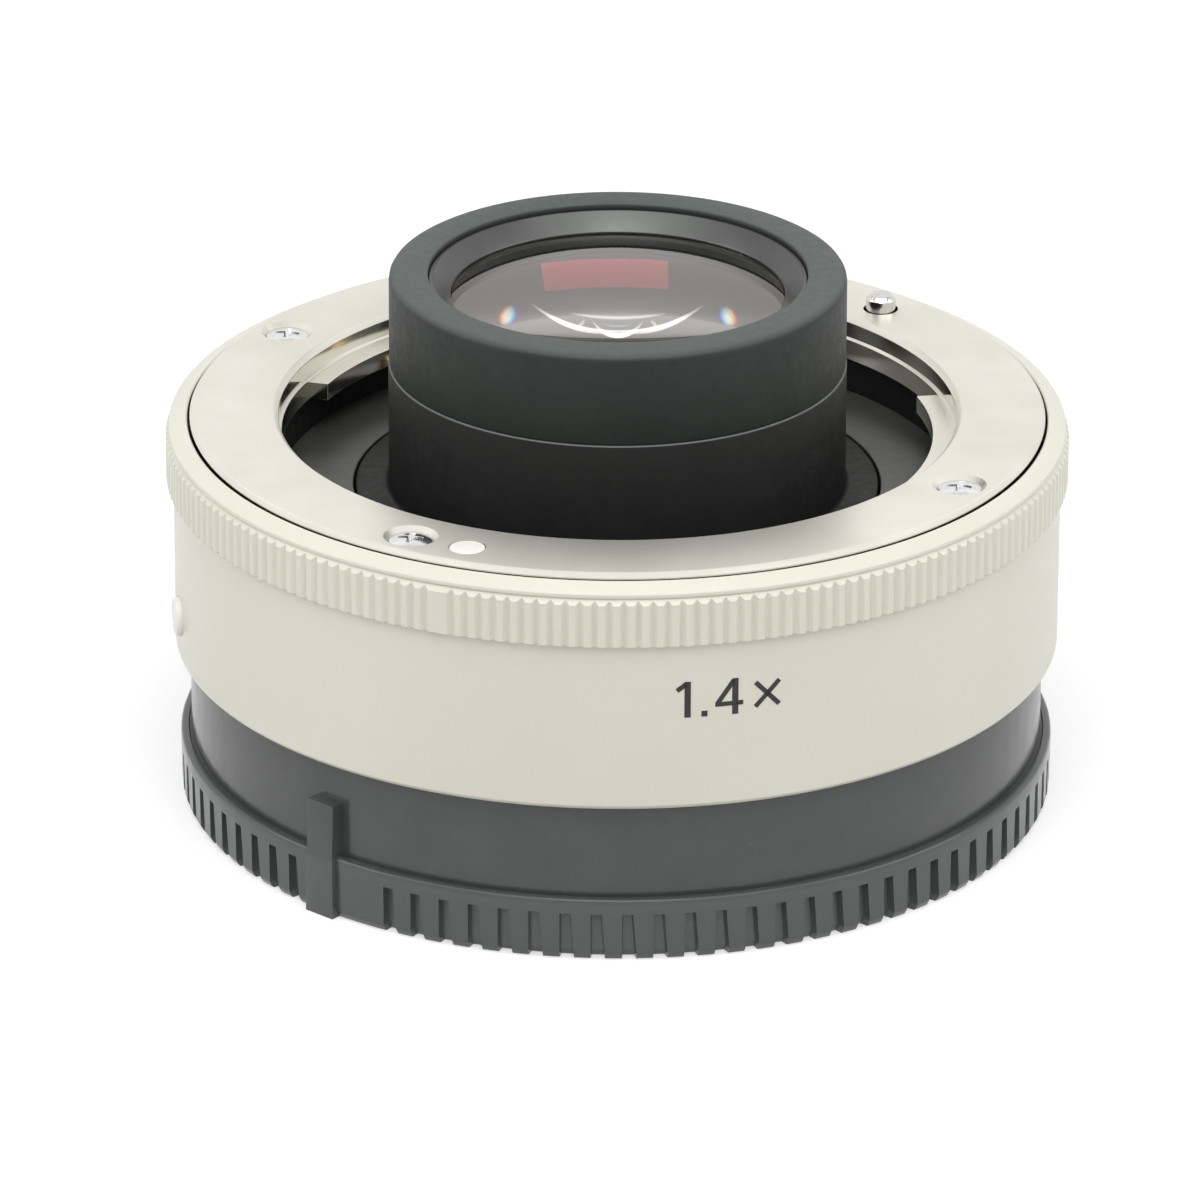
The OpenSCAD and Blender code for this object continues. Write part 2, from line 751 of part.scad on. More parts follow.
module lens_rear() {
    color([0.6, 0.7, 0.7, 0.5]) difference() {
        intersection() {
            translate([0, 0, rear_low_z]) cylinder(r = rear_glass_r, h = rear_edge_z - rear_low_z);
            ball_face(rear_low_z, rear_low_ball, -1);
        }
        ball_face(rear_top_z, rear_top_ball, -1);
    }
}

module front_spacer() {
    low = doublet_top_z - sag(doublet_top_ball, front_spacer_r) + cement_gap;
    high = front_low_z + sag(front_back_ball, front_spacer_r) - cement_gap;
    color([0.12, 0.12, 0.12]) tube(front_spacer_r, front_glass_r, low, high);
}

module middle_spacer() {
    low = biconvex_top_z - sag(biconvex_top_ball, spacer_r) + cement_gap;
    color([0.12, 0.12, 0.12]) tube(spacer_r, rear_glass_r, low, biconcave_edge_z - cement_gap);
}

module rear_spacer() {
    high = biconvex_low_z + sag(biconvex_low_ball, spacer_r) - cement_gap;
    color([0.12, 0.12, 0.12]) tube(spacer_r, rear_glass_r, rear_edge_z + cement_gap, high);
}

module rear_retaining_ring() {
    high = rear_low_z + sag(rear_low_ball, spacer_r) - cement_gap;
    notch = 1.2;
    color([0.12, 0.12, 0.12]) difference() {
        tube(spacer_r, rear_glass_r, rear_tube_z + lens_gap, high);
        for (a = notch_azimuths) rotate([0, 0, a])
            block(spacer_r - eps, spacer_r + notch / 2, notch / 2, rear_tube_z - eps,
                rear_tube_z + notch / 2);
    }
}

module lens_unit_screws() {
    head_r = 1.4;
    head_t = 0.9;
    slot_half = 0.9;
    slot_w = 0.4;
    color("silver") lens_screw_places() difference() {
        union() {
            translate([0, 0, -web_t - head_t]) cylinder(r = head_r, h = head_t);
            translate([0, 0, -web_t - head_t / 2])
                cylinder(r = screw_d / 2, h = web_t + head_t / 2 + lens_screw_depth);
        }
        for (a = [0, 90]) rotate([0, 0, a])
            block(-slot_half, slot_half, slot_w / 2, -web_t - head_t - eps, -web_t - head_t / 2);
    }
}

module front_contact_block() {
    half = block_span / 2;
    color([0.1, 0.1, 0.1]) difference() {
        sector(contact_r - block_half_w, contact_r + block_half_w, board_z, block_z, contact_az - half,
            contact_az + half);
        contact_places() {
            translate([0, 0, board_z]) cylinder(r = contact_d / 2 + run_gap, h = block_z);
            translate([0, 0, board_z - eps])
                cylinder(r = pin_head_r + run_gap, h = pin_head_z + pin_head_t - board_z + eps);
        }
    }
}

module contact_pins() {
    tip = 0.2;
    color("goldenrod") contact_places() {
        translate([0, 0, pin_head_z]) cylinder(r = contact_d / 2, h = pin_tip_z - tip - pin_head_z);
        translate([0, 0, pin_tip_z - tip]) cylinder(r1 = contact_d / 2, r2 = contact_d / 2 - tip, h = tip);
        translate([0, 0, pin_head_z]) cylinder(r = pin_head_r, h = pin_head_t - turn_gap_z);
    }
}

module contact_springs() {
    wire = 0.08;
    color("silver") contact_places() translate([0, 0, board_z])
        coil(contact_d / 2 - wire, wire, pin_head_z - board_z, 3, 8, 6);
}

module circuit_board() {
    half = board_span / 2;
    color("darkgreen") difference() {
        sector(foot_r + turn_gap, board_out_r, web_z, board_z, contact_az - half, contact_az + half);
        flex_way(web_z - eps, board_z + eps);
    }
}

module control_chip() {
    chip_half = 1.4;
    chip_t = 0.7;
    chip_az = contact_az + board_span / 2 - 12;
    color([0.15, 0.15, 0.16]) at(chip_az, (foot_r + turn_gap + board_out_r) / 2, board_z)
        block(-chip_half, chip_half, chip_half, 0, chip_t);
}

module flex_cable() {
    half = flex_span / 2;
    low = rear_block_z + rear_block_t;
    color("darkorange")
        sector(flex_r - flex_t, flex_r, low, board_z - flex_t, contact_az - half, contact_az + half);
}

module rear_contact_block() {
    half = block_span / 2;
    color([0.1, 0.1, 0.1]) difference() {
        sector(contact_r - block_half_w, contact_r + block_half_w, rear_block_z,
            rear_block_z + rear_block_t, contact_az - half, contact_az + half);
        contact_places() block(-pad_l / 2 - seat_gap, pad_l / 2 + seat_gap, pad_w / 2 + seat_gap,
            rear_block_z - eps, rear_block_z + pad_t / 2);
    }
}

module rear_contact_pads() {
    color("goldenrod") contact_places() block(-pad_l / 2, pad_l / 2, pad_w / 2, rear_block_z - pad_t / 2,
        rear_block_z + pad_t / 2);
}

module rear_mount_ring() {
    lug_low = tube_z + male_lug_lift;
    color("silver") difference() {
        union() {
            turned([[tube_bore_r, tube_z], [tube_r, tube_z], [tube_r, camera_z],
                [camera_flange_r - edge, camera_z], [camera_flange_r, camera_z + edge],
                [camera_flange_r, chassis_z], [tube_bore_r, chassis_z]]);
            for (span = lug_spans) sector(tube_r - tube_wall / 2, male_lug_r, lug_low, lug_low + male_lug_t,
                span[0] + male_lug_trim, span[1] - male_lug_trim);
        }
        rear_screw_places() sunk_hole(camera_flange_t + eps);
    }
}

module rear_mount_screws() {
    color("gainsboro") rear_screw_places() sunk_screw(camera_screw_len);
}

module rear_baffle() {
    half = block_span / 2 + slot_end;
    corner = 3;
    color([0.08, 0.08, 0.08]) difference() {
        union() {
            tube(0, baffle_r, baffle_z, baffle_z + floor_t);
            tube(baffle_r - baffle_wall, baffle_r, tube_z + baffle_lift, baffle_z + floor_t);
        }
        translate([0, 0, baffle_z - eps]) linear_extrude(floor_t + 2 * eps) {
            square([window_w, window_h - 2 * corner], center = true);
            square([window_w - 2 * corner, window_h], center = true);
            for (x = [-1, 1], y = [-1, 1])
                translate([x * (window_w / 2 - corner), y * (window_h / 2 - corner)]) circle(corner);
        }
        sector(contact_r - block_half_w - seat_gap, baffle_r + eps, 0, baffle_z + floor_t + eps,
            contact_az - half, contact_az + half);
    }
}

// One moulding: ribbed rim, smooth skirt, bayonet well and a raised tab
module rear_cap() {
    rib_z = rim_h - rib_top_band;
    rib_r = cap_r - rib_inset;
    color([0.2, 0.2, 0.21]) union() {
        difference() {
            union() {
                linear_extrude(rib_z + edge)
                    polygon(wheel(rib_count, rib_r, rib_depth, rib_share, tab_az, tab_land));
                turned([[0, rib_z], [cap_r, rib_z], [cap_r, rim_h - edge], [cap_r - edge, rim_h],
                    [skirt_r, rim_h], [skirt_r, skirt_top_z - edge], [skirt_r - edge, skirt_top_z],
                    [0, skirt_top_z]]);
                cap_tab();
            }
            translate([0, 0, cap_floor_t]) cylinder(r = skirt_bore_r, h = skirt_top_z);
        }
        tube(well_r, well_r + well_wall, cap_floor_t - edge, camera_z - turn_gap_z);
        for (span = lug_spans) sector(cap_lug_r, well_r + well_wall / 2, cap_lug_z, cap_lug_z + cap_lug_t,
            span[0] + male_lug_trim, span[0] + male_lug_trim + cap_lug_angle);
    }
}

module cap_tab() {
    rotate([0, 0, tab_az]) intersection() {
        tube(skirt_r - tab_root, tab_out_r, edge, skirt_top_z);
        rotate([0, 90, 0]) linear_extrude(max_r) tab_outline();
    }
}

module tab_outline() {
    top = rim_h + tab_h;
    translate([-top + tab_w / 2, -tab_w / 2]) square([top - tab_w / 2, tab_w]);
    translate([-top + tab_w / 2, 0]) circle(tab_w / 2);
}

front_mount_ring();
front_mount_screws();
front_index_dot();
lock_pin();
lock_pin_spring();
release_button();
release_springs();
knurled_ring();
outer_barrel();
chassis();
throat_floor();
nose_barrel();
nose_hood();
front_retaining_ring();
lens_front();
lens_doublet_convex();
lens_doublet_concave();
lens_biconcave();
lens_biconvex();
lens_rear();
front_spacer();
middle_spacer();
rear_spacer();
rear_retaining_ring();
lens_unit_screws();
front_contact_block();
contact_pins();
contact_springs();
circuit_board();
control_chip();
flex_cable();
rear_contact_block();
rear_contact_pads();
rear_mount_ring();
rear_mount_screws();
rear_baffle();
camera_index_dot();
rear_cap();
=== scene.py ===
# %% [markdown]
# # A teleconverter on its rear cap
# A teleconverter is a short barrel of glass that goes between a camera and a tele lens. This lesson dresses
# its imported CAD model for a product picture: the solids already have their real sizes, so every piece here
# is modelled over one of them, in metres and in the same frame, and then stands for it.

# %% Load the frame
import math

import bmesh
import bpy
from mathutils import Matrix, Vector


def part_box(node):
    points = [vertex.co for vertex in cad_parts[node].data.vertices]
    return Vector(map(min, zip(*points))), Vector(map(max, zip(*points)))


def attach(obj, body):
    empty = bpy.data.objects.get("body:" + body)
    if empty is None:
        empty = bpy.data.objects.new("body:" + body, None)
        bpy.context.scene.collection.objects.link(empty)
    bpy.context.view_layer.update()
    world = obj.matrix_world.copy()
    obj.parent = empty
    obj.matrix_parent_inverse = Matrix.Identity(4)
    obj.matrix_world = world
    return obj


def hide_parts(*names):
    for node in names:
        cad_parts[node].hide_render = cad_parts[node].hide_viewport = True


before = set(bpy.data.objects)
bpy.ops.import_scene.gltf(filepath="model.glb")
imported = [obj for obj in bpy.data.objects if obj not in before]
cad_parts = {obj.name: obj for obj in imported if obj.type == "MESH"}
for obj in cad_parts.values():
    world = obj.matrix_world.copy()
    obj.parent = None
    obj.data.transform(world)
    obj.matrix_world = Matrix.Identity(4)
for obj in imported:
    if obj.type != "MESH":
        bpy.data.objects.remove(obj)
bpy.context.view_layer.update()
MM = 0.001

# %% [markdown]
# ## Measuring
# Nothing is fitted by eye: the heights and radii come from the solids' boxes, in millimetres, because that
# is the unit a machinist thinks in. Only small details that the boxes can't tell are written as numbers.

# %% Read radii and heights from the solids
def reach(node):
    """Radius, lowest and highest point of a round solid, in millimetres."""
    low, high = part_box(node)
    return high.x / MM, low.z / MM, high.z / MM


cap_r, _, cap_top = reach("rear_cap")
barrel_r, barrel_low, barrel_top = reach("outer_barrel")
ring_r, ring_low, ring_top = reach("knurled_ring")
flange_r, lug_low, flange_top = reach("front_mount_ring")
floor_r, floor_low, floor_top = reach("throat_floor")
foot_r, tube_low, seam_z = reach("nose_barrel")
hood_r, _, nose_top = reach("nose_hood")
holder_r, holder_low, holder_top = reach("front_retaining_ring")


def spot(node):
    """Azimuth in degrees, radius and height of a small solid's middle."""
    low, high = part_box(node)
    middle = (low + high) / 2
    return math.degrees(math.atan2(middle.y, middle.x)), middle.xy.length / MM, middle.z / MM


DOT_AZ, _, DOT_Z = spot("camera_index_dot")
LOCK_AZ, _, _ = spot("lock_pin")
INDEX_AZ, INDEX_SEAT, _ = spot("front_index_dot")
print(f"flange at {flange_top:.2f} mm, nose to {nose_top:.2f} mm, widest radius {ring_r:.2f} mm")

# %% [markdown]
# ## Turning on the lathe
# Almost every piece of a lens is turned, so the main tool is a lathe: an outline is drawn vertex by vertex
# beside the axis, and Spin carries it round. Real edges are never quite sharp, so a corner of the outline
# can be rounded before it is spun, which costs far fewer faces than a bevel afterwards.

# %% Draw an outline and spin it
WELD, CREASE = 0.002 * MM, math.radians(30)


def only(*pieces):
    """Selects these objects and nothing else; the first one is active."""
    bpy.ops.object.select_all(action="DESELECT")
    for piece in pieces:
        piece.select_set(True)
    bpy.context.view_layer.objects.active = pieces[0]


def outline(*corners, steps=4):
    """Points (radius, height); a corner with a third number is rounded, that far from its tip."""
    points = []
    for before, corner, after in zip((corners[-1],) + corners[:-1], corners, corners[1:] + corners[:1]):
        tip = Vector(corner[:2])
        if len(corner) == 2:
            points.append(tip)
            continue
        start = tip + (Vector(before[:2]) - tip).normalized() * corner[2]
        end = tip + (Vector(after[:2]) - tip).normalized() * corner[2]
        for t in (i / steps for i in range(steps + 1)):
            points.append(start * (1 - t) ** 2 + tip * 2 * t * (1 - t) + end * t ** 2)
    return points


def drawn(name, points, az=0.0):
    """A new piece in edit mode: an outline beside the axis, drawn vertex by vertex at an azimuth."""
    out = Vector((math.cos(math.radians(az)), math.sin(math.radians(az)), 0)) * MM
    up = Vector((0, 0, MM))
    bpy.ops.object.select_all(action="DESELECT")
    bpy.ops.mesh.primitive_plane_add(size=MM)
    piece = bpy.context.object
    piece.name = piece.data.name = name
    bpy.ops.object.mode_set(mode="EDIT")
    bpy.ops.mesh.merge(type="CENTER")
    here = Vector()
    for count, (r, z) in enumerate(points):
        there = out * r + up * z
        if count:
            bpy.ops.mesh.extrude_vertices_move(TRANSFORM_OT_translate={"value": there - here})
        else:
            bpy.ops.transform.translate(value=there)
        here = there
    return piece


def pick(piece, kind, wanted):
    """Selects in edit mode the verts, edges or faces that a test wants."""
    bpy.ops.mesh.select_all(action="DESELECT")
    mesh = bmesh.from_edit_mesh(piece.data)
    for part in getattr(mesh, kind):
        part.select_set(wanted(part))
    if kind == "verts":
        mesh.select_flush(True)
    bmesh.update_edit_mesh(piece.data)


def spin(steps, angle):
    """Carries what is selected round the axis, anticlockwise from above; Spin itself goes clockwise."""
    bpy.ops.mesh.spin(steps=steps, angle=-angle, center=(0, 0, 0), axis=(0, 0, 1))


def finished(piece):
    """Leaves edit mode with doubles merged, normals outwards and smooth shading up to an angle."""
    bpy.ops.mesh.select_all(action="SELECT")
    bpy.ops.mesh.remove_doubles(threshold=WELD)
    bpy.ops.mesh.normals_make_consistent(inside=False)
    bpy.ops.object.mode_set(mode="OBJECT")
    only(piece)
    bpy.ops.object.shade_smooth_by_angle(angle=CREASE)
    return piece


def closed(points):
    """An outline led back to its start, unless it begins and ends on the axis."""
    on_axis = points[0][0] == 0 and points[-1][0] == 0
    return points if on_axis else [*points, points[0]]


def turned(name, points, steps=192):
    """A turned piece."""
    piece = drawn(name, closed(points))
    bpy.ops.mesh.select_all(action="SELECT")
    spin(steps, math.tau)
    return finished(piece)


print("lathe ready")

# %% [markdown]
# ## Cutting, joining and placing
# Some shapes are easier to cut than to draw: countersinks, slots and the cross in a screw head. A Boolean
# modifier does that and is applied at once. Small pieces are modelled at the origin and set down at an
# azimuth and a radius. Their place is applied, so that every object stays at the origin.

# %% Booleans, sectors and places
def combined(piece, other, operation):
    """Applies a Boolean of another piece, which is used up."""
    change = piece.modifiers.new(operation, "BOOLEAN")
    change.operation = operation
    change.object = other
    change.solver = "EXACT"
    only(piece)
    bpy.ops.object.modifier_apply(modifier=change.name)
    bpy.data.objects.remove(other)
    bpy.ops.object.shade_smooth_by_angle(angle=CREASE)
    return piece


def block(name, x=0.0):
    """A cube of one millimetre with its middle on the X axis, in edit mode."""
    bpy.ops.object.select_all(action="DESELECT")
    bpy.ops.mesh.primitive_cube_add(size=MM, location=(x * MM, 0, 0))
    piece = bpy.context.object
    piece.name = piece.data.name = name
    bpy.ops.object.mode_set(mode="EDIT")
    return piece


def joined(name, pieces):
    """Several pieces as one object."""
    only(*pieces)
    bpy.ops.object.join()
    pieces[0].name = pieces[0].data.name = name
    return pieces[0]


def sector(name, points, az, span, steps=24):
    """A closed outline spun over part of a turn, with its two ends filled."""
    piece = drawn(name, closed(points), az)
    bpy.ops.mesh.select_all(action="SELECT")
    spin(steps, math.radians(span))
    bpy.ops.mesh.select_all(action="SELECT")
    bpy.ops.mesh.remove_doubles(threshold=WELD)
    bpy.ops.mesh.fill_holes(sides=0)
    return finished(piece)


def set_down(piece, az, r, z, lying=False):
    """Moves a piece that was modelled at the origin to its place; a lying one points outwards."""
    turn = math.radians(az)
    piece.rotation_euler = (0, math.pi / 2 if lying else 0, turn)
    piece.location = (r * MM * math.cos(turn), r * MM * math.sin(turn), z * MM)
    only(piece)
    bpy.ops.object.transform_apply(location=True, rotation=True, scale=True)
    return piece


def bevelled(piece, width, segments=3, limit=40):
    """Rounds the edges that are sharper than an angle."""
    edges = piece.modifiers.new("Edges", "BEVEL")
    edges.width = width * MM
    edges.segments = segments
    edges.limit_method = "ANGLE"
    edges.angle_limit = math.radians(limit)
    only(piece)
    bpy.ops.object.modifier_apply(modifier=edges.name)
    bpy.ops.object.shade_smooth_by_angle(angle=CREASE)
    return piece


def merged_copy(name, node, edge=0.0):
    """A copy of a solid with its loose triangles merged back into clean faces."""
    piece = bpy.data.objects.new(name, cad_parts[node].data.copy())
    bpy.context.scene.collection.objects.link(piece)
    only(piece)
    bpy.ops.object.mode_set(mode="EDIT")
    bpy.ops.mesh.select_all(action="SELECT")
    bpy.ops.mesh.remove_doubles(threshold=WELD)
    bpy.ops.mesh.dissolve_limited(angle_limit=math.radians(0.5))
    bpy.ops.object.mode_set(mode="OBJECT")
    bpy.ops.object.shade_smooth_by_angle(angle=CREASE)
    return bevelled(piece, edge, 2) if edge else piece


def dress(piece, finish, node=None, body="converter"):
    """Gives a piece its finish and its body, and hides the solid that it stands for."""
    piece.data.materials.clear()
    piece.data.materials.append(finish)
    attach(piece, body)
    if node:
        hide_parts(node)
    print(f"{piece.name}: {len(piece.data.polygons)} faces, rides on {body}")


print("cutters and joiners ready")

# %% [markdown]
# ## A small kit for finishes
# Every finish is a Principled shader fed by patterns in Object coordinates. As all pieces sit at the origin,
# these are the part's own metres, so a noise of scale 1000 has a grain of about a millimetre.

# %% Shader helpers
def new_finish(name):
    """A material, its node tree, its shader and its Object coordinates."""
    made = bpy.data.materials.new(name)
    made.use_nodes = True
    tree = made.node_tree
    return made, tree, tree.nodes["Principled BSDF"], tree.nodes.new("ShaderNodeTexCoord").outputs["Object"]


def connect(tree, socket, value):
    """Links a socket to another one, or sets its value."""
    if isinstance(value, bpy.types.NodeSocket):
        tree.links.new(value, socket)
    else:
        socket.default_value = value


def feed(tree, node, **inputs):
    """Sets or links inputs of a node; an underscore in a name stands for a space."""
    for name, value in inputs.items():
        connect(tree, node.inputs[name.replace("_", " ")], value)


def add(tree, kind, **inputs):
    """A new node with its inputs."""
    made = tree.nodes.new("ShaderNode" + kind)
    feed(tree, made, **inputs)
    return made


def calc(tree, operation, *values):
    """The outcome of one sum on numbers and sockets."""
    made = add(tree, "Math")
    made.operation = operation
    for socket, value in zip(made.inputs, values):
        connect(tree, socket, value)
    return made.outputs["Value"]


def grain(tree, place, scale, detail=3.0):
    """A soft noise from 0 to 1."""
    return add(tree, "TexNoise", Vector=place, Scale=scale, Detail=detail).outputs["Fac"]


def between(tree, pattern, low, high, start=0.3, end=0.7):
    """A pattern stretched to a range."""
    made = add(tree, "MapRange", Value=pattern, From_Min=start, From_Max=end, To_Min=low, To_Max=high)
    return made.outputs["Result"]


def tinted(tree, pattern, dark, light):
    """A colour between two tones, as a pattern says."""
    ramp = add(tree, "ValToRGB", Fac=pattern)
    for element, position, colour in zip(ramp.color_ramp.elements, (0.3, 0.7), (dark, light)):
        element.position = position
        element.color = (*colour, 1)
    return ramp.outputs["Color"]


def axis_distance(tree, place):
    """Distance from the optical axis."""
    flat = add(tree, "VectorMath", Vector=place)
    flat.operation = "MULTIPLY"
    flat.inputs[1].default_value = (1, 1, 0)
    radius = add(tree, "VectorMath", Vector=flat.outputs["Vector"])
    radius.operation = "LENGTH"
    return radius.outputs["Value"]


def lathe_lines(tree, place, scale):
    """Fine circles round the optical axis, as a cutting tool leaves them."""
    lines = add(tree, "TexNoise", Scale=scale, Detail=4.0)
    lines.noise_dimensions = "1D"
    tree.links.new(axis_distance(tree, place), lines.inputs["W"])
    return lines.outputs["Fac"]


def specks(tree, place, scale, size, share):
    """Small round specks in a share of the cells, from 0 to 1."""
    cells = add(tree, "TexVoronoi", Vector=place, Scale=scale)
    near = between(tree, cells.outputs["Distance"], 1.0, 0.0, size * 0.6, size)
    draw = add(tree, "SeparateColor", Color=cells.outputs["Color"]).outputs["Red"]
    rare = between(tree, draw, 0.0, 1.0, 1 - share, 1.001 - share)
    return calc(tree, "MULTIPLY", near, rare)


def overlay(tree, mask, below, colour):
    """A colour laid over another where a mask is 1."""
    above = colour if isinstance(colour, bpy.types.NodeSocket) else (*colour, 1)
    return add(tree, "MixRGB", Fac=mask, Color1=below, Color2=above).outputs["Color"]


def relief(tree, shader, pattern, depth, under=None):
    """A bump of a real depth in millimetres."""
    bump = add(tree, "Bump", Height=pattern, Distance=depth * MM)
    if under:
        tree.links.new(under, bump.inputs["Normal"])
    tree.links.new(bump.outputs["Normal"], shader.inputs["Normal"])
    return bump.outputs["Normal"]


print("shader kit ready")

# %% [markdown]
# ## The white paint
# Tele lenses are painted a warm white that keeps them cool in the sun. The paint is satin: a slight orange
# peel, tones that drift a little over centimetres, and a few dark specks of dust from handling.

# %% White paint
def paint(name, light, dark, seam_shade_r=0.0):
    """Satin paint; what lies inside a given radius is painted near black: painted shade in the seam next to
    the flange.
    """
    made, tree, shader, place = new_finish(name)
    tone = tinted(tree, grain(tree, place, 70), dark, light)
    dust_and_painted_light = overlay(tree, specks(tree, place, 260, 0.035, 0.05), tone, (0.42, 0.40, 0.34))
    # painted shade: inside this radius the ring's seam wall is painted near black, standing in for the shade
    # in the narrow gap
    if seam_shade_r:
        inside = between(tree, axis_distance(tree, place), 1.0, 0.0, (seam_shade_r - 0.02) * MM, seam_shade_r * MM)
        dust_and_painted_light = overlay(tree, inside, dust_and_painted_light, (0.012, 0.012, 0.011))
    peel = grain(tree, place, 2600, 2.0)
    feed(tree, shader, Base_Color=dust_and_painted_light, Roughness=between(tree, grain(tree, place, 900), 0.30, 0.40))
    relief(tree, shader, peel, 0.0012)
    return made


PAINT_LIGHT, PAINT_DARK = (0.745, 0.735, 0.635), (0.715, 0.705, 0.605)
white_paint = paint("white_paint", PAINT_LIGHT, PAINT_DARK)
print("made", white_paint.name)

# %% [markdown]
# ## The white barrel
# The barrel is a plain tube with a small chamfer at its foot, which catches the light as a pale line. It has
# a slot for the release button and a hole for the raised dot, both at the back and side of the picture.

# %% Turn the barrel and cut its openings
BARREL_WALL = 1.1
CHAMFER = 0.3
BUTTON_W, BUTTON_H, BUTTON_Z, SLOT_GAP = 9.0, 5.0, 18.5, 0.15
NEARLY_HALF = 0.499
DOT_R = 1.4


def slot_prism(name, width, height, length):
    """A block with fully rounded ends, lying along +X from the origin."""
    piece = block(name, length / 2)
    bpy.ops.transform.resize(value=(length, width, height))
    pick(piece, "edges", lambda e: abs(e.verts[0].co.x - e.verts[1].co.x) > 0.5 * length * MM)
    bpy.ops.mesh.bevel(offset=NEARLY_HALF * height * MM, segments=12, affect="EDGES")
    bpy.ops.object.mode_set(mode="OBJECT")
    only(piece)
    bpy.ops.object.transform_apply(location=True, rotation=True, scale=True)
    return piece


def plug(name, radius, length):
    """A short rod along +Z, for drilling."""
    return turned(name, outline((0, 0), (radius, 0), (radius, length), (0, length)), 48)


bore_r = barrel_r - BARREL_WALL
barrel = turned("white_barrel", outline(
    (bore_r, barrel_low), (barrel_r - CHAMFER, barrel_low, 0.06), (barrel_r, barrel_low + CHAMFER, 0.1),
    (barrel_r, barrel_top), (bore_r, barrel_top)))
button_slot = slot_prism("button_slot", BUTTON_W + 2 * SLOT_GAP, BUTTON_H + 2 * SLOT_GAP, 6)
combined(barrel, set_down(button_slot, LOCK_AZ, bore_r - 2, BUTTON_Z), "DIFFERENCE")
combined(barrel, set_down(plug("dot_hole", DOT_R, 4), DOT_AZ, bore_r - 1, DOT_Z, lying=True), "DIFFERENCE")
bevelled(barrel, 0.08, 2, 60)
dress(barrel, white_paint, "outer_barrel")

# %% [markdown]
# ## The knurled ring
# The trim ring has about two hundred ridges for grip, each with a chamfer on top, and one wide plain ridge.
# Only one ridge is modelled: the ring's whole outline is spun a few columns wide, the columns of the groove
# are pushed inwards, and an Array carries the strip round. That gives one closed skin with few faces.

# %% One ridge, carried round by an array
KNURL_PITCHES, KNURL_BARE, KNURL_LAND_AZ = 200, 1, 247.5
KNURL_DEPTH, ON_PLANE = 0.25, 0.005 * MM
KNURL_COLUMNS = ((0.27, KNURL_DEPTH, 0), (0.06, KNURL_DEPTH, 0), (0.27, 0, 0), (0.40, 0, 0))


def push(piece, in_band, factor=1.0, lean=0.0, rise=0.0):
    """Scales the chosen vertices of the newest column towards the axis, turns them about it or lifts them."""
    mesh = bmesh.from_edit_mesh(piece.data)
    column = [v.index for v in mesh.verts if v.select]
    for v in mesh.verts:
        v.select_set(v.select and in_band(v.co.xy.length / MM, v.co.z / MM))
    mesh.select_flush(False)
    bmesh.update_edit_mesh(piece.data)
    bpy.ops.transform.resize(value=(factor, factor, 1), center_override=(0, 0, 0))
    bpy.ops.transform.translate(value=(0, 0, rise * MM))
    if lean:
        bpy.ops.transform.rotate(value=-lean, orient_axis="Z", center_override=(0, 0, 0))
    mesh = bmesh.from_edit_mesh(piece.data)
    mesh.verts.ensure_lookup_table()
    for index in column:
        mesh.verts[index].select_set(True)
    mesh.select_flush(True)
    bmesh.update_edit_mesh(piece.data)


def fluted(name, points, pitches, bare, columns, in_band, outer, start, foot=0.0, ramp=math.inf):
    """A ring of equal flutes with a bare stretch before the start azimuth; columns are (share of a pitch,
    inset, lean of the foot). Above the ramp's height the flutes run out through a chamfer of 45 degrees."""
    pitch = math.tau / pitches
    piece = drawn(name, closed(points), start)
    bpy.ops.mesh.select_all(action="SELECT")
    now = 0.0
    leant = 0.0
    for share, inset, lean in columns:
        spin(1, share * pitch)
        if inset != now:
            push(piece, in_band, (outer - inset) / (outer - now))
            push(piece, lambda r, z: in_band(r, z) and z > ramp, rise=inset - now)
            now = inset
        if lean != leant:
            push(piece, lambda r, z: in_band(r, z) and z < foot, lean=(lean - leant) * pitch)
            leant = lean
    bpy.ops.object.mode_set(mode="OBJECT")
    bpy.ops.object.empty_add()
    hub = bpy.context.object
    hub.rotation_euler.z = pitch
    bpy.context.view_layer.update()
    around = piece.modifiers.new("Around", "ARRAY")
    around.count = pitches - bare
    around.use_relative_offset = False
    around.use_object_offset = True
    around.offset_object = hub
    only(piece)
    bpy.ops.object.modifier_apply(modifier=around.name)
    bpy.data.objects.remove(hub)
    bpy.ops.object.mode_set(mode="EDIT")
    end = math.radians(start) - bare * pitch
    last = Vector((math.cos(end), math.sin(end)))
    pick(piece, "verts", lambda v: abs(last.cross(v.co.xy)) < ON_PLANE and last.dot(v.co.xy) > -ON_PLANE)
    spin(2 * bare, bare * pitch)
    return finished(piece)


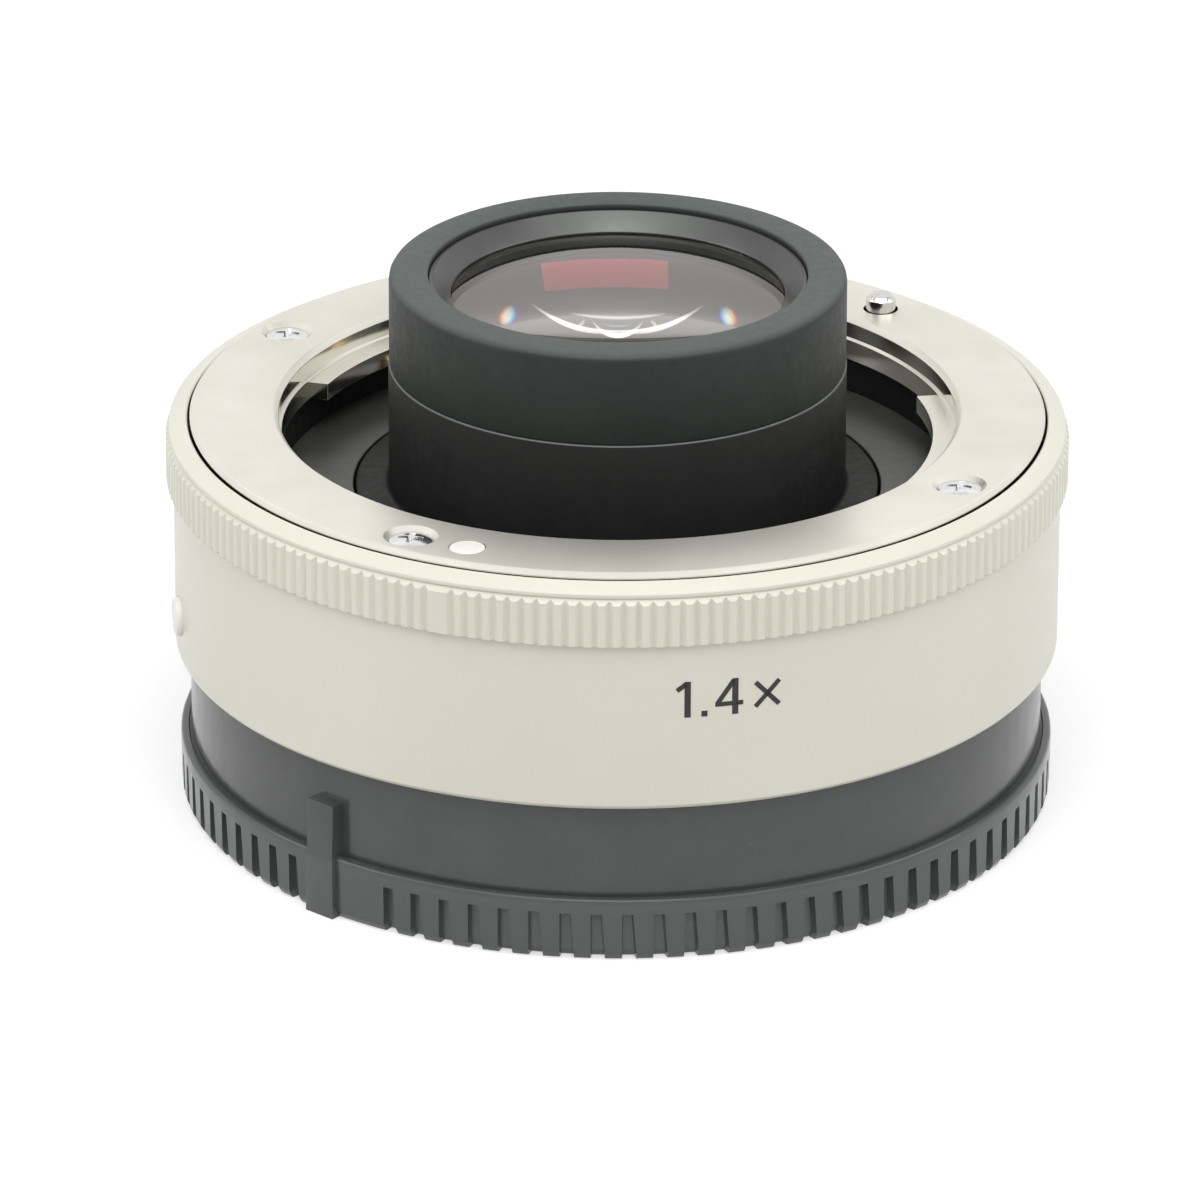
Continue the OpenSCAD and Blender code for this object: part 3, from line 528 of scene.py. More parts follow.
KNURL_FOOT, KNURL_HEAD, KNURL_CHAMFER = 0.05, 3.45, 0.33
LIP, LIP_DROP = 0.2, 0.54
SEAM, SEAM_DEPTH = 0.14, 1.2
knurl_low, knurl_top = ring_low + KNURL_FOOT, ring_low + KNURL_HEAD
land = (KNURL_BARE + KNURL_COLUMNS[-1][0]) * 360 / KNURL_PITCHES
knurled = fluted("knurled_trim_ring", outline(
    (bore_r, ring_low), (barrel_r, ring_low), (ring_r - 0.08, knurl_low), (ring_r, knurl_low + 0.1),
    (ring_r, knurl_top - KNURL_CHAMFER), (ring_r - KNURL_CHAMFER, knurl_top),
    (ring_r - 0.36, knurl_top + 0.06), (ring_r - LIP - 0.02, knurl_top + 0.14),
    (ring_r - LIP, ring_top - LIP_DROP, 0.12),
    (flange_r + SEAM + 0.14, ring_top, 0.07), (flange_r + SEAM, ring_top - 0.14),
    (flange_r + SEAM, ring_top - SEAM_DEPTH), (bore_r, ring_top - SEAM_DEPTH)),
    KNURL_PITCHES, KNURL_BARE, KNURL_COLUMNS,
    lambda r, z: r > ring_r - 0.35 and z < knurl_top - 0.005, ring_r, KNURL_LAND_AZ + land / 2,
    ramp=knurl_top - KNURL_CHAMFER - 0.01)
# this paint carries painted shade on the seam wall between the ring and the steel flange
ring_paint = paint("ring_paint", PAINT_LIGHT, PAINT_DARK, flange_r + SEAM + 0.03)
dress(knurled, ring_paint, "knurled_ring")

# %% [markdown]
# ## The steel mount
# The flange is turned stainless steel: circles too fine to count, a soft sheen that fans out over them, and
# faint smudges where lenses have rubbed. Its bright chamfers outline it against the paint, and its walls are
# polished, so that they mirror the dark throat.

# %% Turned steel
WALL_SHINE = 0.12


def upright(tree, place):
    """1 on a wall, 0 on a face that looks up or down."""
    slope = add(tree, "SeparateXYZ", Vector=place.node.outputs["Normal"]).outputs["Z"]
    return between(tree, calc(tree, "ABSOLUTE", slope), 1.0, 0.0, 0.3, 0.6)


def steel(name, dark, light, low, high):
    """Steel turned on a lathe, with polished walls."""
    made, tree, shader, place = new_finish(name)
    circles = lathe_lines(tree, place, 14000)
    rub = grain(tree, place, 160, 4.0)
    wall = upright(tree, place)
    around = tree.nodes.new("ShaderNodeTangent")
    around.direction_type, around.axis = "RADIAL", "Z"
    feed(tree, shader, Metallic=1.0, Base_Color=tinted(tree, rub, dark, light),
         Roughness=between(tree, wall, between(tree, circles, low, high), WALL_SHINE, 0, 1),
         Anisotropic=0.7, Anisotropic_Rotation=0.25, Tangent=around.outputs["Tangent"])
    relief(tree, shader, circles, 0.0004)
    return made


mount_steel = steel("turned_steel", (0.77, 0.75, 0.67), (0.85, 0.83, 0.75), 0.34, 0.46)
print("made", mount_steel.name)

# %% [markdown]
# ## The mount ring
# The plate is turned with its collar in one outline. Three lugs hold the lens's bayonet: each is a sector of
# a turn, joined to the collar by a Boolean. Four countersinks, the dot's seat and the pin's hole are cut.

# %% Turn the mount ring, add lugs and drill it
THROAT_R, COLLAR_R, LUG_R, LUG_ROOT = 23.4, 24.4, 21.8, 0.3
PLATE_T, STEP = 1.5, 0.22
LUG_SPANS = ((100, 158), (218, 270), (319, 377))
SCREW_AZ, SCREW_R, SINK_R, SHANK_R = 59.3, 27.0, 1.85, 0.85
INDEX_R, PIN_R, PIN_HOLE_R = 1.25, 26.3, 1.225
EDGE = 0.35
plate_low = flange_top - PLATE_T
mount = turned("mount_ring", outline(
    (THROAT_R - STEP, lug_low), (COLLAR_R, lug_low), (COLLAR_R, plate_low), (flange_r, plate_low),
    (flange_r, flange_top - 0.9 * EDGE, 0.06), (flange_r - 0.7 * EDGE, flange_top, 0.08),
    (THROAT_R + EDGE, flange_top, 0.08), (THROAT_R, flange_top - EDGE, 0.06),
    (THROAT_R, plate_low + 0.05, 0.03), (THROAT_R - STEP, plate_low - 0.05, 0.06)))
for first, last in LUG_SPANS:
    lug = sector("lug", outline(
        (LUG_R, lug_low + 0.06), (LUG_R + 0.06, lug_low), (THROAT_R + LUG_ROOT, lug_low + 0.02),
        (THROAT_R + LUG_ROOT, plate_low - 0.3), (LUG_R, plate_low - 0.2, 0.08)), first, last - first)
    combined(mount, bevelled(lug, 0.06, 2, 60), "UNION")
for quarter in range(4):
    sink = turned("sink", outline(
        (0, -3), (SHANK_R, -3), (SHANK_R, SHANK_R - SINK_R), (SINK_R, 0), (SINK_R + 0.1, 0.1), (0, 0.1)), 48)
    combined(mount, set_down(sink, SCREW_AZ + 90 * quarter, SCREW_R, flange_top), "DIFFERENCE")
seat = set_down(plug("seat", INDEX_R, 2), INDEX_AZ, INDEX_SEAT, flange_top - PLATE_T / 2)
combined(mount, seat, "DIFFERENCE")
pin_hole = set_down(plug("pin_hole", PIN_HOLE_R, 4), LOCK_AZ, PIN_R, plate_low - 1)
combined(mount, pin_hole, "DIFFERENCE")
dress(mount, mount_steel, "front_mount_ring")

# %% [markdown]
# ## Screws, dots and the lock pin
# Small bright things draw the eye, so they are modelled in full: a slightly domed screw head with a cross
# cut into it, a flush white dot, a raised dot for the fingertip, and a polished lock pin.

# %% Polished steel and white enamel
def polished(name, colour, low, high):
    """Bright metal with faint marks."""
    made, tree, shader, place = new_finish(name)
    marks = grain(tree, place, 3200, 4.0)
    dark = tuple(0.88 * c for c in colour)
    feed(tree, shader, Metallic=1.0, Base_Color=tinted(tree, marks, dark, colour),
         Roughness=between(tree, marks, low, high))
    relief(tree, shader, marks, 0.0006)
    return made


def enamel(name, light, dark):
    """Smooth enamel or moulded plastic."""
    made, tree, shader, place = new_finish(name)
    feed(tree, shader, Base_Color=tinted(tree, grain(tree, place, 1500), dark, light),
         Roughness=between(tree, grain(tree, place, 4000), 0.28, 0.42))
    relief(tree, shader, grain(tree, place, 6000, 2.0), 0.0006)
    return made


screw_steel = polished("screw_steel", (0.80, 0.80, 0.80), 0.12, 0.24)
pin_steel = polished("pin_steel", (0.72, 0.71, 0.69), 0.10, 0.20)
dot_enamel = enamel("dot_enamel", (0.90, 0.89, 0.85), (0.85, 0.84, 0.79))
print("made", screw_steel.name, pin_steel.name, dot_enamel.name)

# %% Model one screw and copy it
SCREW_LEN, THREAD_R, HEAD_R, HEAD_DROP = 5.8, 0.8, 1.52, 0.20
CROSS_TURN, CROSS_SIZE, CROSS_TAPER = 20.0, (2.1, 0.48, 1.1), (0.55, 0.7, 1)


def cross_screw(name, length):
    """A countersunk screw with its head up at the origin."""
    screw = turned(name, outline(
        (0, -length), (THREAD_R, -length + 0.2), (THREAD_R, -HEAD_DROP - HEAD_R + THREAD_R),
        (HEAD_R, -HEAD_DROP - 0.1, 0.08), (0.75, -HEAD_DROP + 0.1, 0.4), (0, -HEAD_DROP + 0.14)), 48)
    for turn in (0, 90):
        blade = block("blade")
        bpy.ops.transform.resize(value=CROSS_SIZE)
        pick(blade, "verts", lambda v: v.co.z < 0)
        bpy.ops.transform.resize(value=CROSS_TAPER, center_override=(0, 0, 0))
        bpy.ops.object.mode_set(mode="OBJECT")
        combined(screw, set_down(blade, CROSS_TURN + turn, 0, -HEAD_DROP + 0.02), "DIFFERENCE")
    return screw


def copies(name, model, places):
    """The model at several places (azimuth, radius, height), each with its own mesh, as one object."""
    made = []
    for az, r, z in places:
        copy = bpy.data.objects.new(name, model.data.copy())
        bpy.context.scene.collection.objects.link(copy)
        made.append(set_down(copy, az, r, z))
    bpy.data.objects.remove(model)
    return joined(name, made)


screws = copies("flange_screws", bevelled(cross_screw("screw", SCREW_LEN), 0.03, 2, 50),
                [(SCREW_AZ + 90 * quarter, SCREW_R, flange_top) for quarter in range(4)])
dress(screws, screw_steel, "front_mount_screws")

# %% Dots and lock pin
INDEX_DIP, INDEX_DEPTH = 0.03, 0.72
index_dot = turned("flange_dot", outline(
    (0, 0), (INDEX_R - 0.04, 0), (INDEX_R - 0.04, INDEX_DEPTH, 0.08), (0, INDEX_DEPTH + 0.02)), 64)
set_down(index_dot, INDEX_AZ, INDEX_SEAT, flange_top - INDEX_DEPTH - INDEX_DIP)
dress(index_dot, dot_enamel, "front_index_dot")

DOT_RISE, DOT_SEAT = 0.45, 0.85
raised = turned("raised_dot", outline(
    (0, 0), (DOT_R - 0.05, 0), (DOT_R - 0.05, DOT_SEAT + DOT_RISE - 0.04, 0.28),
    (0.6, DOT_SEAT + DOT_RISE, 0.3), (0, DOT_SEAT + DOT_RISE)), 64)
set_down(raised, DOT_AZ, barrel_r - DOT_SEAT, DOT_Z, lying=True)
dress(raised, dot_enamel, "camera_index_dot")

dress(merged_copy("lens_lock_pin", "lock_pin", 0.12), pin_steel, "lock_pin", "lock_pin")

# %% [markdown]
# ## The release button
# The button sits in its slot at the back. It follows the barrel's curve, so a merged copy of its solid is
# used and its edges are rounded; the white is a little cooler and coarser, as moulded plastic is.

# %% Button
button_white = enamel("button_white", (0.76, 0.755, 0.68), (0.72, 0.715, 0.64))
dress(merged_copy("lens_release_button", "release_button", 0.15), button_white,
      "release_button", "release_button")

# %% [markdown]
# ## Black metal
# The throat and nose are black: anodised aluminium that is nearly matt, with fine turning lines on flat
# faces, a paler grey painted on the rim's top as painted highlight, and here and there a light scuff.

# %% Anodised blacks
def anodised(name, dark, light, low, high, specular, top=None, metal=0.0):
    """A black with dust; top is (height where the top begins, height where it is full, its colour): a paler
    band painted on the highest faces.
    """
    made, tree, shader, place = new_finish(name)
    bloom = grain(tree, place, 420, 5.0)
    tone = tinted(tree, bloom, dark, light)
    if top:
        # painted highlight: on the hood the top band stands in for the light that the rim's upward face
        # catches; on the nose it is a pale line at the seam
        start, full, colour = top
        height = add(tree, "SeparateXYZ", Vector=place).outputs["Z"]
        tone = overlay(tree, between(tree, height, 0.0, 1.0, start * MM, full * MM), tone, colour)
    dust_and_painted_light = overlay(tree, specks(tree, place, 700, 0.05, 0.06), tone, tuple(7 * c for c in light))
    feed(tree, shader, Base_Color=dust_and_painted_light, Roughness=between(tree, grain(tree, place, 1600), low, high),
         Specular_IOR_Level=specular, Metallic=metal)
    fine = relief(tree, shader, grain(tree, place, 9000, 2.0), 0.0012)
    relief(tree, shader, lathe_lines(tree, place, 4200), 0.001, fine)
    return made


# the hood's top colour is painted highlight on the rim
hood_black = anodised("hood_black", (0.011, 0.014, 0.0125), (0.015, 0.0185, 0.0165), 0.50, 0.62, 0.4,
                      (nose_top - 0.35, nose_top - 0.02, (0.080, 0.094, 0.087)))
nose_black = anodised("nose_black", (0.008, 0.009, 0.008), (0.011, 0.012, 0.011), 0.48, 0.60, 0.3,
                      (seam_z - 0.10, seam_z - 0.04, (0.16, 0.17, 0.165)))
floor_black = anodised("floor_black", (0.050, 0.053, 0.047), (0.062, 0.065, 0.058), 0.30, 0.42, 0.5)
holder_black = anodised("holder_black", (0.104, 0.107, 0.104), (0.116, 0.119, 0.116), 0.33, 0.37, 0.5,
                        metal=0.95)
inner_black = anodised("inner_black", (0.006, 0.006, 0.006), (0.009, 0.009, 0.009), 0.60, 0.75, 0.35)
print("made", hood_black.name, nose_black.name, floor_black.name, holder_black.name, inner_black.name)

# %% Throat floor, nose and hood
CONTACT_AZ, CONTACT_R, BLOCK_HALF, BLOCK_SPAN = 104.0, 19.4, 1.05, 62.4
GROOVE = 0.15
well = turned("throat_floor_plate", outline(
    (foot_r + GROOVE, floor_low), (floor_r, floor_low), (floor_r, floor_top),
    (foot_r + GROOVE, floor_top, 0.16)))
way = sector("way", outline(
    (CONTACT_R - BLOCK_HALF - GROOVE, floor_low - 1), (CONTACT_R + BLOCK_HALF + GROOVE, floor_low - 1),
    (CONTACT_R + BLOCK_HALF + GROOVE, floor_top + 1), (CONTACT_R - BLOCK_HALF - GROOVE, floor_top + 1)),
    CONTACT_AZ - BLOCK_SPAN / 2 - 0.5, BLOCK_SPAN + 1)
combined(well, way, "DIFFERENCE")
dress(well, floor_black, "throat_floor")

NOSE_R, FRONT_BORE, REAR_BORE, REAR_TUBE, SEAT_R = 15.8, 12.75, 11.6, 13.4, 10.6
WEB_Z, SEAT_HIGH, SEAT_LOW = 19.5, 25.6, 24.4
nose = turned("nose_tube", outline(
    (REAR_BORE, tube_low), (REAR_TUBE, tube_low), (REAR_TUBE, WEB_Z), (foot_r, WEB_Z),
    (foot_r, floor_top, 0.16), (NOSE_R, floor_top, 0.45), (NOSE_R, seam_z, 0.14), (FRONT_BORE, seam_z),
    (FRONT_BORE, SEAT_HIGH), (SEAT_R, SEAT_HIGH), (SEAT_R, SEAT_LOW), (REAR_BORE, SEAT_LOW)))
dress(nose, nose_black, "nose_barrel")

RIM_BORE, THREAD_Z = 13.05, 36.03
hood = turned("nose_rim", outline(
    (FRONT_BORE, seam_z), (hood_r - 0.05, seam_z, 0.1), (hood_r, seam_z + 0.2), (hood_r, nose_top, 0.6),
    (RIM_BORE, nose_top, 0.16), (RIM_BORE, THREAD_Z), (FRONT_BORE, THREAD_Z)))
dress(hood, hood_black, "nose_hood")

GLASS_CLEAR = 11.5
holder = turned("glass_holder", outline(
    (GLASS_CLEAR, holder_low), (holder_r, holder_low), (holder_r, holder_top, 0.06),
    (holder_r - 0.25, holder_top, 0.05), (GLASS_CLEAR, holder_low + 0.14, 0.05)))
dress(holder, holder_black, "front_retaining_ring")

# %% [markdown]
# ## The glass
# The front element is strongly coated, so it mirrors the room in pinkish grey. Its rear face is hollow and
# sits on a shoulder: near the edge that face throws light back, which shows as crescents and ghosts. Each
# lens is turned from arcs and has a real glass shader.

# %% Coated glass
LENS_ROWS = 14


def coated(name, tint, ior):
    """Clear glass with a tinted mirror on its faces and a trace of smear."""
    made, tree, shader, place = new_finish(name)
    smear = between(tree, grain(tree, place, 300, 5.0), 0.0, 0.008)
    feed(tree, shader, Base_Color=(0.97, 0.93, 0.90, 1), Transmission_Weight=1.0, IOR=ior, Roughness=smear,
         Specular_Tint=(*tint, 1))
    return made


front_coat = coated("front_coat", (0.80, 0.61, 0.56), 1.60)
inner_coat = coated("inner_coat", (0.40, 0.62, 0.70), 1.72)


def lens(name, node, top_ball, low_ball, shoulder=None):
    """A lens between two balls; a positive ball bulges outwards, a negative one is hollow, zero is flat.
    A shoulder (radius, height, depth) takes the rear face deeper than the solid's, inside that radius."""
    radius, low, high = reach(node)
    step, foot = [], radius
    if shoulder:
        foot = shoulder[0]
        step = [(radius, shoulder[1]), (foot, shoulder[1])]
        low -= shoulder[2]

    def drop(ball, r):
        return abs(ball) - math.sqrt(ball * ball - r * r) if ball else 0

    def face(ball, r, edge):
        return drop(ball, r) if ball >= 0 else drop(ball, edge) - drop(ball, r)

    rows = [i / LENS_ROWS for i in range(LENS_ROWS + 1)]
    top = [(radius * t, high - face(top_ball, radius * t, radius)) for t in rows]
    under = [(foot * t, low + face(low_ball, foot * t, foot)) for t in reversed(rows)]
    return turned(name, top + step + under, 128)


INNER = (("crown_glass", "lens_doublet_convex", 45, 40), ("flint_glass", "lens_doublet_concave", -40, 0),
         ("hollow_glass", "lens_biconcave", -60, -32), ("bulged_glass", "lens_biconvex", 34, 60),
         ("rear_glass", "lens_rear", -36, 60))
spacer_top = reach("front_spacer")[2]
SEAT_GAP, DEEPER = 0.05, 0.9
front_shoulder = (GLASS_CLEAR, spacer_top + SEAT_GAP, DEEPER)
front_glass = lens("front_glass", "lens_front", 50, -100, front_shoulder)
dress(front_glass, front_coat, "lens_front")
for name, node, top_ball, low_ball in INNER:
    dress(lens(name, node, top_ball, low_ball), inner_coat, node)

# %% [markdown]
# ## The rear cap
# The cap is one moulding of dark grey plastic: a smooth skirt under the white barrel, a rim with about ninety
# ribs to twist it by, and a tab that points at the dot. It is fluted in the same way as the trim ring.

# %% Moulded grey plastic
def moulded(name, dark, light, low, high, rim):
    """Grained plastic, paler up to a height as painted light that the rim catches; rim is that height, the
    colour there and the colour between the ribs, a painted light that lifts the shade in the grooves."""
    made, tree, shader, place = new_finish(name)
    tone = tinted(tree, grain(tree, place, 240, 5.0), dark, light)
    height = add(tree, "SeparateXYZ", Vector=place).outputs["Z"]
    # painted light: the rim is paler up to its height, and paler still between the ribs, where it lifts their
    # shade
    painted_rim_light = between(tree, height, 0.8, 0.0, (rim[0] - 0.5) * MM, rim[0] * MM)
    painted_groove_light = between(tree, axis_distance(tree, place), 1.0, 0.0, (cap_r - RIB_DEPTH) * MM, (cap_r - 0.15) * MM)
    tone = overlay(tree, painted_rim_light, tone, overlay(tree, painted_groove_light, (*rim[1], 1), rim[2]))
    dust_and_painted_light = overlay(tree, specks(tree, place, 330, 0.035, 0.10), tone, (0.42, 0.42, 0.40))
    feed(tree, shader, Base_Color=dust_and_painted_light, Roughness=between(tree, grain(tree, place, 700, 4.0), low, high))
    fine = relief(tree, shader, grain(tree, place, 7000, 3.0), 0.0022)
    relief(tree, shader, grain(tree, place, 180, 2.0), 0.006, fine)
    return made


RIM_H, RIB_DEPTH = 4.5, 0.6
# the rim's colour and the colour between the ribs are painted light
cap_grey = moulded("cap_grey", (0.056, 0.060, 0.059), (0.066, 0.070, 0.068), 0.15, 0.24,
                   (RIM_H, (0.086, 0.095, 0.093), (0.135, 0.145, 0.142)))
print("made", cap_grey.name)

# %% Cap body with its ribs
CAP_PITCHES, CAP_BARE, CAP_START = 90, 3, 238.9
CAP_COLUMNS = ((0.03, RIB_DEPTH, 0), (0.27, RIB_DEPTH, 0.10), (0.06, 0, 0.10), (0.64, 0, 0))
RIB_TOP, RIB_FOOT, RIB_BAND, FLOOR_T = 3.3, 1.0, 1.5, 1.8
SKIRT_R, SKIRT_BORE, WELL_R, WELL_OUT, WELL_TOP = 29.65, 28.5, 23.6, 25.0, 7.9
cap = fluted("rear_cap_body", outline(
    (0, 0), (cap_r - 1.9, 0), (cap_r - 0.35, 0.02, 0.12), (cap_r - 0.06, 0.5, 0.15), (cap_r - 0.02, RIB_TOP),
    (cap_r, RIB_TOP + 0.12), (cap_r, RIM_H, 0.3), (SKIRT_R + 0.2, RIM_H, 0.05), (SKIRT_R + 0.14, RIM_H - 0.1),
    (SKIRT_R, RIM_H - 0.12), (SKIRT_R, cap_top, 0.3), (SKIRT_BORE, cap_top, 0.2), (SKIRT_BORE, FLOOR_T),
    (WELL_OUT, FLOOR_T), (WELL_OUT, WELL_TOP, 0.2), (WELL_R, WELL_TOP, 0.2), (WELL_R, FLOOR_T), (0, FLOOR_T)),
    CAP_PITCHES, CAP_BARE, CAP_COLUMNS,
    lambda r, z: r > cap_r - RIB_BAND and z < RIB_TOP + 0.02, cap_r, CAP_START, RIB_FOOT)
print(CAP_PITCHES - CAP_BARE, "ribs round the cap")

# %% Tab and bayonet lugs of the cap
TAB_AZ, TAB_W, TAB_TOP, TAB_OUT = 229.1, 2.45, 8.3, 30.75
TAB_PART, TAB_INSET, TAB_ROOT, TAB_ROUND, TAB_LEAN = 4.3, 0.07, 0.6, 0.95, 0.12


def cap_tab(name):
    """A foot with a slightly smaller head on it: the step is where the mould's halves met."""
    root = SKIRT_R - TAB_ROOT
    half_out = 0.5 * (TAB_OUT - root) * MM
    piece = block(name)
    bpy.ops.transform.translate(value=(0.5 * MM, 0, 0.5 * MM))
    bpy.ops.transform.resize(value=(TAB_OUT - root, TAB_W, TAB_PART), center_override=(0, 0, 0))
    pick(piece, "faces", lambda face: face.normal.z > 0.9)
    bpy.ops.mesh.inset(thickness=TAB_INSET * MM)
    bpy.ops.mesh.extrude_region_move(TRANSFORM_OT_translate={"value": (0, 0, (TAB_TOP - TAB_PART) * MM)})

    def upper_side(edge):
        a, b = (v.co for v in edge.verts)
        return min(a.z, b.z) > 0.9 * TAB_TOP * MM and abs(a.x - b.x) > half_out

    pick(piece, "edges", upper_side)
    bpy.ops.mesh.bevel(offset=TAB_ROUND * MM, segments=6, affect="EDGES")
    pick(piece, "verts", lambda v: v.co.x > half_out and v.co.z > 0.6 * TAB_TOP * MM)
    bpy.ops.transform.translate(value=(-TAB_LEAN * MM, 0, 0))
    bpy.ops.object.mode_set(mode="OBJECT")
    return set_down(bevelled(piece, 0.1, 3, 50), TAB_AZ, root, 0.02)


CAP_LUG_R, CAP_LUG_Z, CAP_LUG_T, CAP_LUG_SPAN = 21.75, 5.05, 1.3, 36
cap_lugs = [sector("cap_lug", outline(
    (CAP_LUG_R, CAP_LUG_Z), (WELL_R + 0.6, CAP_LUG_Z), (WELL_R + 0.6, CAP_LUG_Z + CAP_LUG_T),
    (CAP_LUG_R, CAP_LUG_Z + CAP_LUG_T)), first + 1, CAP_LUG_SPAN) for first, _ in LUG_SPANS]
cap = joined("rear_cap_body", [cap, cap_tab("cap_tab"), *cap_lugs])
dress(cap, cap_grey, "rear_cap", "rear_cap")

# %% [markdown]
# ## The figure on the barrel
# The magnification is printed as plain figures. Each stroke starts as a flat bar; the bars are cut up so that
# they can bend, projected onto the barrel, and given a hair of thickness like a layer of ink.

# %% Print the figure
FIGURE_AZ, FIGURE_Z, INK = 284.15, 17.94, 0.04
STROKES = (
    ((0.76, 0.0), (0.76, 2.60), 0.43), ((0.04, 1.97), (0.66, 2.44), 0.34), ((1.70, 0.21), (2.11, 0.21), 0.41),
    ((4.01, 0.0), (4.01, 2.60), 0.43), ((2.63, 0.80), (4.56, 0.80), 0.32), ((2.80, 0.88), (3.92, 2.48), 0.34),
    ((5.42, 0.36), (7.10, 2.12), 0.33), ((5.42, 2.12), (7.10, 0.36), 0.33))
figure_width = max(end[0] for _, end, _ in STROKES)


def printed(name, strokes):
    """Straight strokes (start, end, width) laid flat, cut up, and projected onto the barrel."""
    bars = []
    for start, end, width in strokes:
        start, end = Vector(start) * MM, Vector(end) * MM
        bpy.ops.object.select_all(action="DESELECT")
        bpy.ops.mesh.primitive_plane_add(size=1, location=(*((start + end) / 2), 0))
        bar = bpy.context.object
        bar.scale = ((end - start).length, width * MM, 1)
        bar.rotation_euler.z = math.atan2(end.y - start.y, end.x - start.x)
        bar.location.x -= figure_width / 2 * MM
        bpy.ops.object.transform_apply(location=True, rotation=True, scale=True)
        bars.append(bar)
    label = joined(name, bars)
    bpy.ops.object.mode_set(mode="EDIT")
    bpy.ops.mesh.select_all(action="SELECT")
    bpy.ops.mesh.subdivide(number_cuts=7)
    bpy.ops.object.mode_set(mode="OBJECT")
    facing = math.radians(FIGURE_AZ)
    clear = (barrel_r + 1) * MM
    label.rotation_euler = (math.pi / 2, 0, facing + math.pi / 2)
    label.location = (clear * math.cos(facing), clear * math.sin(facing), FIGURE_Z * MM)
    wrap = label.modifiers.new("Wrap", "SHRINKWRAP")
    wrap.target = barrel
    wrap.wrap_method = "PROJECT"
    wrap.use_project_z = wrap.use_negative_direction = True
    wrap.use_positive_direction = False
    ink = label.modifiers.new("Ink", "SOLIDIFY")
    ink.thickness = INK * MM
    ink.offset = 0
    only(label)
    bpy.ops.object.modifier_apply(modifier=wrap.name)
    bpy.ops.object.modifier_apply(modifier=ink.name)
    bpy.ops.object.transform_apply(location=True, rotation=True, scale=True)
    return label


def print_ink(name, dark, light):
    """Dull black ink."""
    made, tree, shader, place = new_finish(name)
    feed(tree, shader, Base_Color=tinted(tree, grain(tree, place, 2400), dark, light),
         Roughness=between(tree, grain(tree, place, 5000), 0.42, 0.58))
    relief(tree, shader, grain(tree, place, 8000, 2.0), 0.0006)
    return made


black_ink = print_ink("print_ink", (0.010, 0.010, 0.011), (0.020, 0.020, 0.021))
dress(printed("magnification_figure", STROKES), black_ink)

# %% [markdown]
# ## The pieces inside
# What the throat and the seams let the eye reach keeps its solid and gets a finish: black chassis and
# spacers, gold contacts in a black block, green board, steel springs and the camera mount under the cap.

# %% Finishes for the carried-over solids
contact_gold = polished("contact_gold", (0.86, 0.62, 0.26), 0.16, 0.28)
spring_steel = polished("spring_steel", (0.62, 0.62, 0.63), 0.2, 0.32)
board_green = enamel("board_green", (0.02, 0.13, 0.05), (0.015, 0.09, 0.04))
chip_black = enamel("chip_black", (0.03, 0.03, 0.032), (0.02, 0.02, 0.021))
flex_amber = enamel("flex_amber", (0.50, 0.22, 0.04), (0.42, 0.18, 0.03))
contact_black = enamel("contact_black", (0.022, 0.022, 0.023), (0.014, 0.014, 0.015))
CARRIED = {
    "chassis": inner_black, "front_spacer": inner_black, "middle_spacer": inner_black,
    "rear_spacer": inner_black, "rear_retaining_ring": inner_black, "rear_baffle": inner_black,
    "front_contact_block": contact_black, "rear_contact_block": contact_black, "contact_pins": contact_gold,
    "rear_contact_pads": contact_gold, "contact_springs": spring_steel, "lock_pin_spring": spring_steel,
    "release_springs": spring_steel, "lens_unit_screws": screw_steel, "rear_mount_screws": screw_steel,
    "rear_mount_ring": mount_steel, "circuit_board": board_green, "control_chip": chip_black,
    "flex_cable": flex_amber}
for name, made in CARRIED.items():
    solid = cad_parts[name]
    solid.data.materials.clear()
    solid.data.materials.append(made)
print(len(CARRIED), "solids carried over")

# %% [markdown]
# ## Camera and floor
# The camera stands where the photograph's did, with a long lens. The floor is white, as a product picture's
# is: it glows a little for the camera and the mirrors alone. A rose card behind the nose shows in the front
# glass and, by light linking, nowhere else.

# %% Camera
CAMERA_AT = Vector((0.0, -639.9, 287.75)) * MM
PITCH, YAW, ROLL = (math.radians(a) for a in (23.201, -0.106, 0.222))
PHOTO_PX, FOCAL_PX = 1199, 10000
bpy.ops.object.camera_add(location=CAMERA_AT)
camera = bpy.context.object
ahead = Vector((math.sin(YAW) * math.cos(PITCH), math.cos(YAW) * math.cos(PITCH), -math.sin(PITCH)))
right = ahead.cross(Vector((0, 0, 1))).normalized()
above = right.cross(ahead)
rolled_right = math.cos(ROLL) * right + math.sin(ROLL) * above
rolled_up = math.cos(ROLL) * above - math.sin(ROLL) * right
camera.rotation_euler = Matrix((rolled_right, rolled_up, -ahead)).transposed().to_euler()
camera.data.sensor_width = 36
camera.data.lens = camera.data.sensor_width * FOCAL_PX / PHOTO_PX
camera.data.clip_start = 0.01
bpy.context.scene.camera = camera
print("camera lens", round(camera.data.lens, 1), "mm")

# %% Floor
FLOOR_SIZE, FLOOR_GLOW = 8, 0.5


def shown(tree):
    """1 for what the camera sees, also in a mirror or through glass; 0 for light on the object."""
    path = add(tree, "LightPath")
    seen = path.outputs["Is Camera Ray"]
    for kind in ("Is Glossy Ray", "Is Transmission Ray"):
        seen = calc(tree, "MAXIMUM", seen, path.outputs[kind])
    return seen


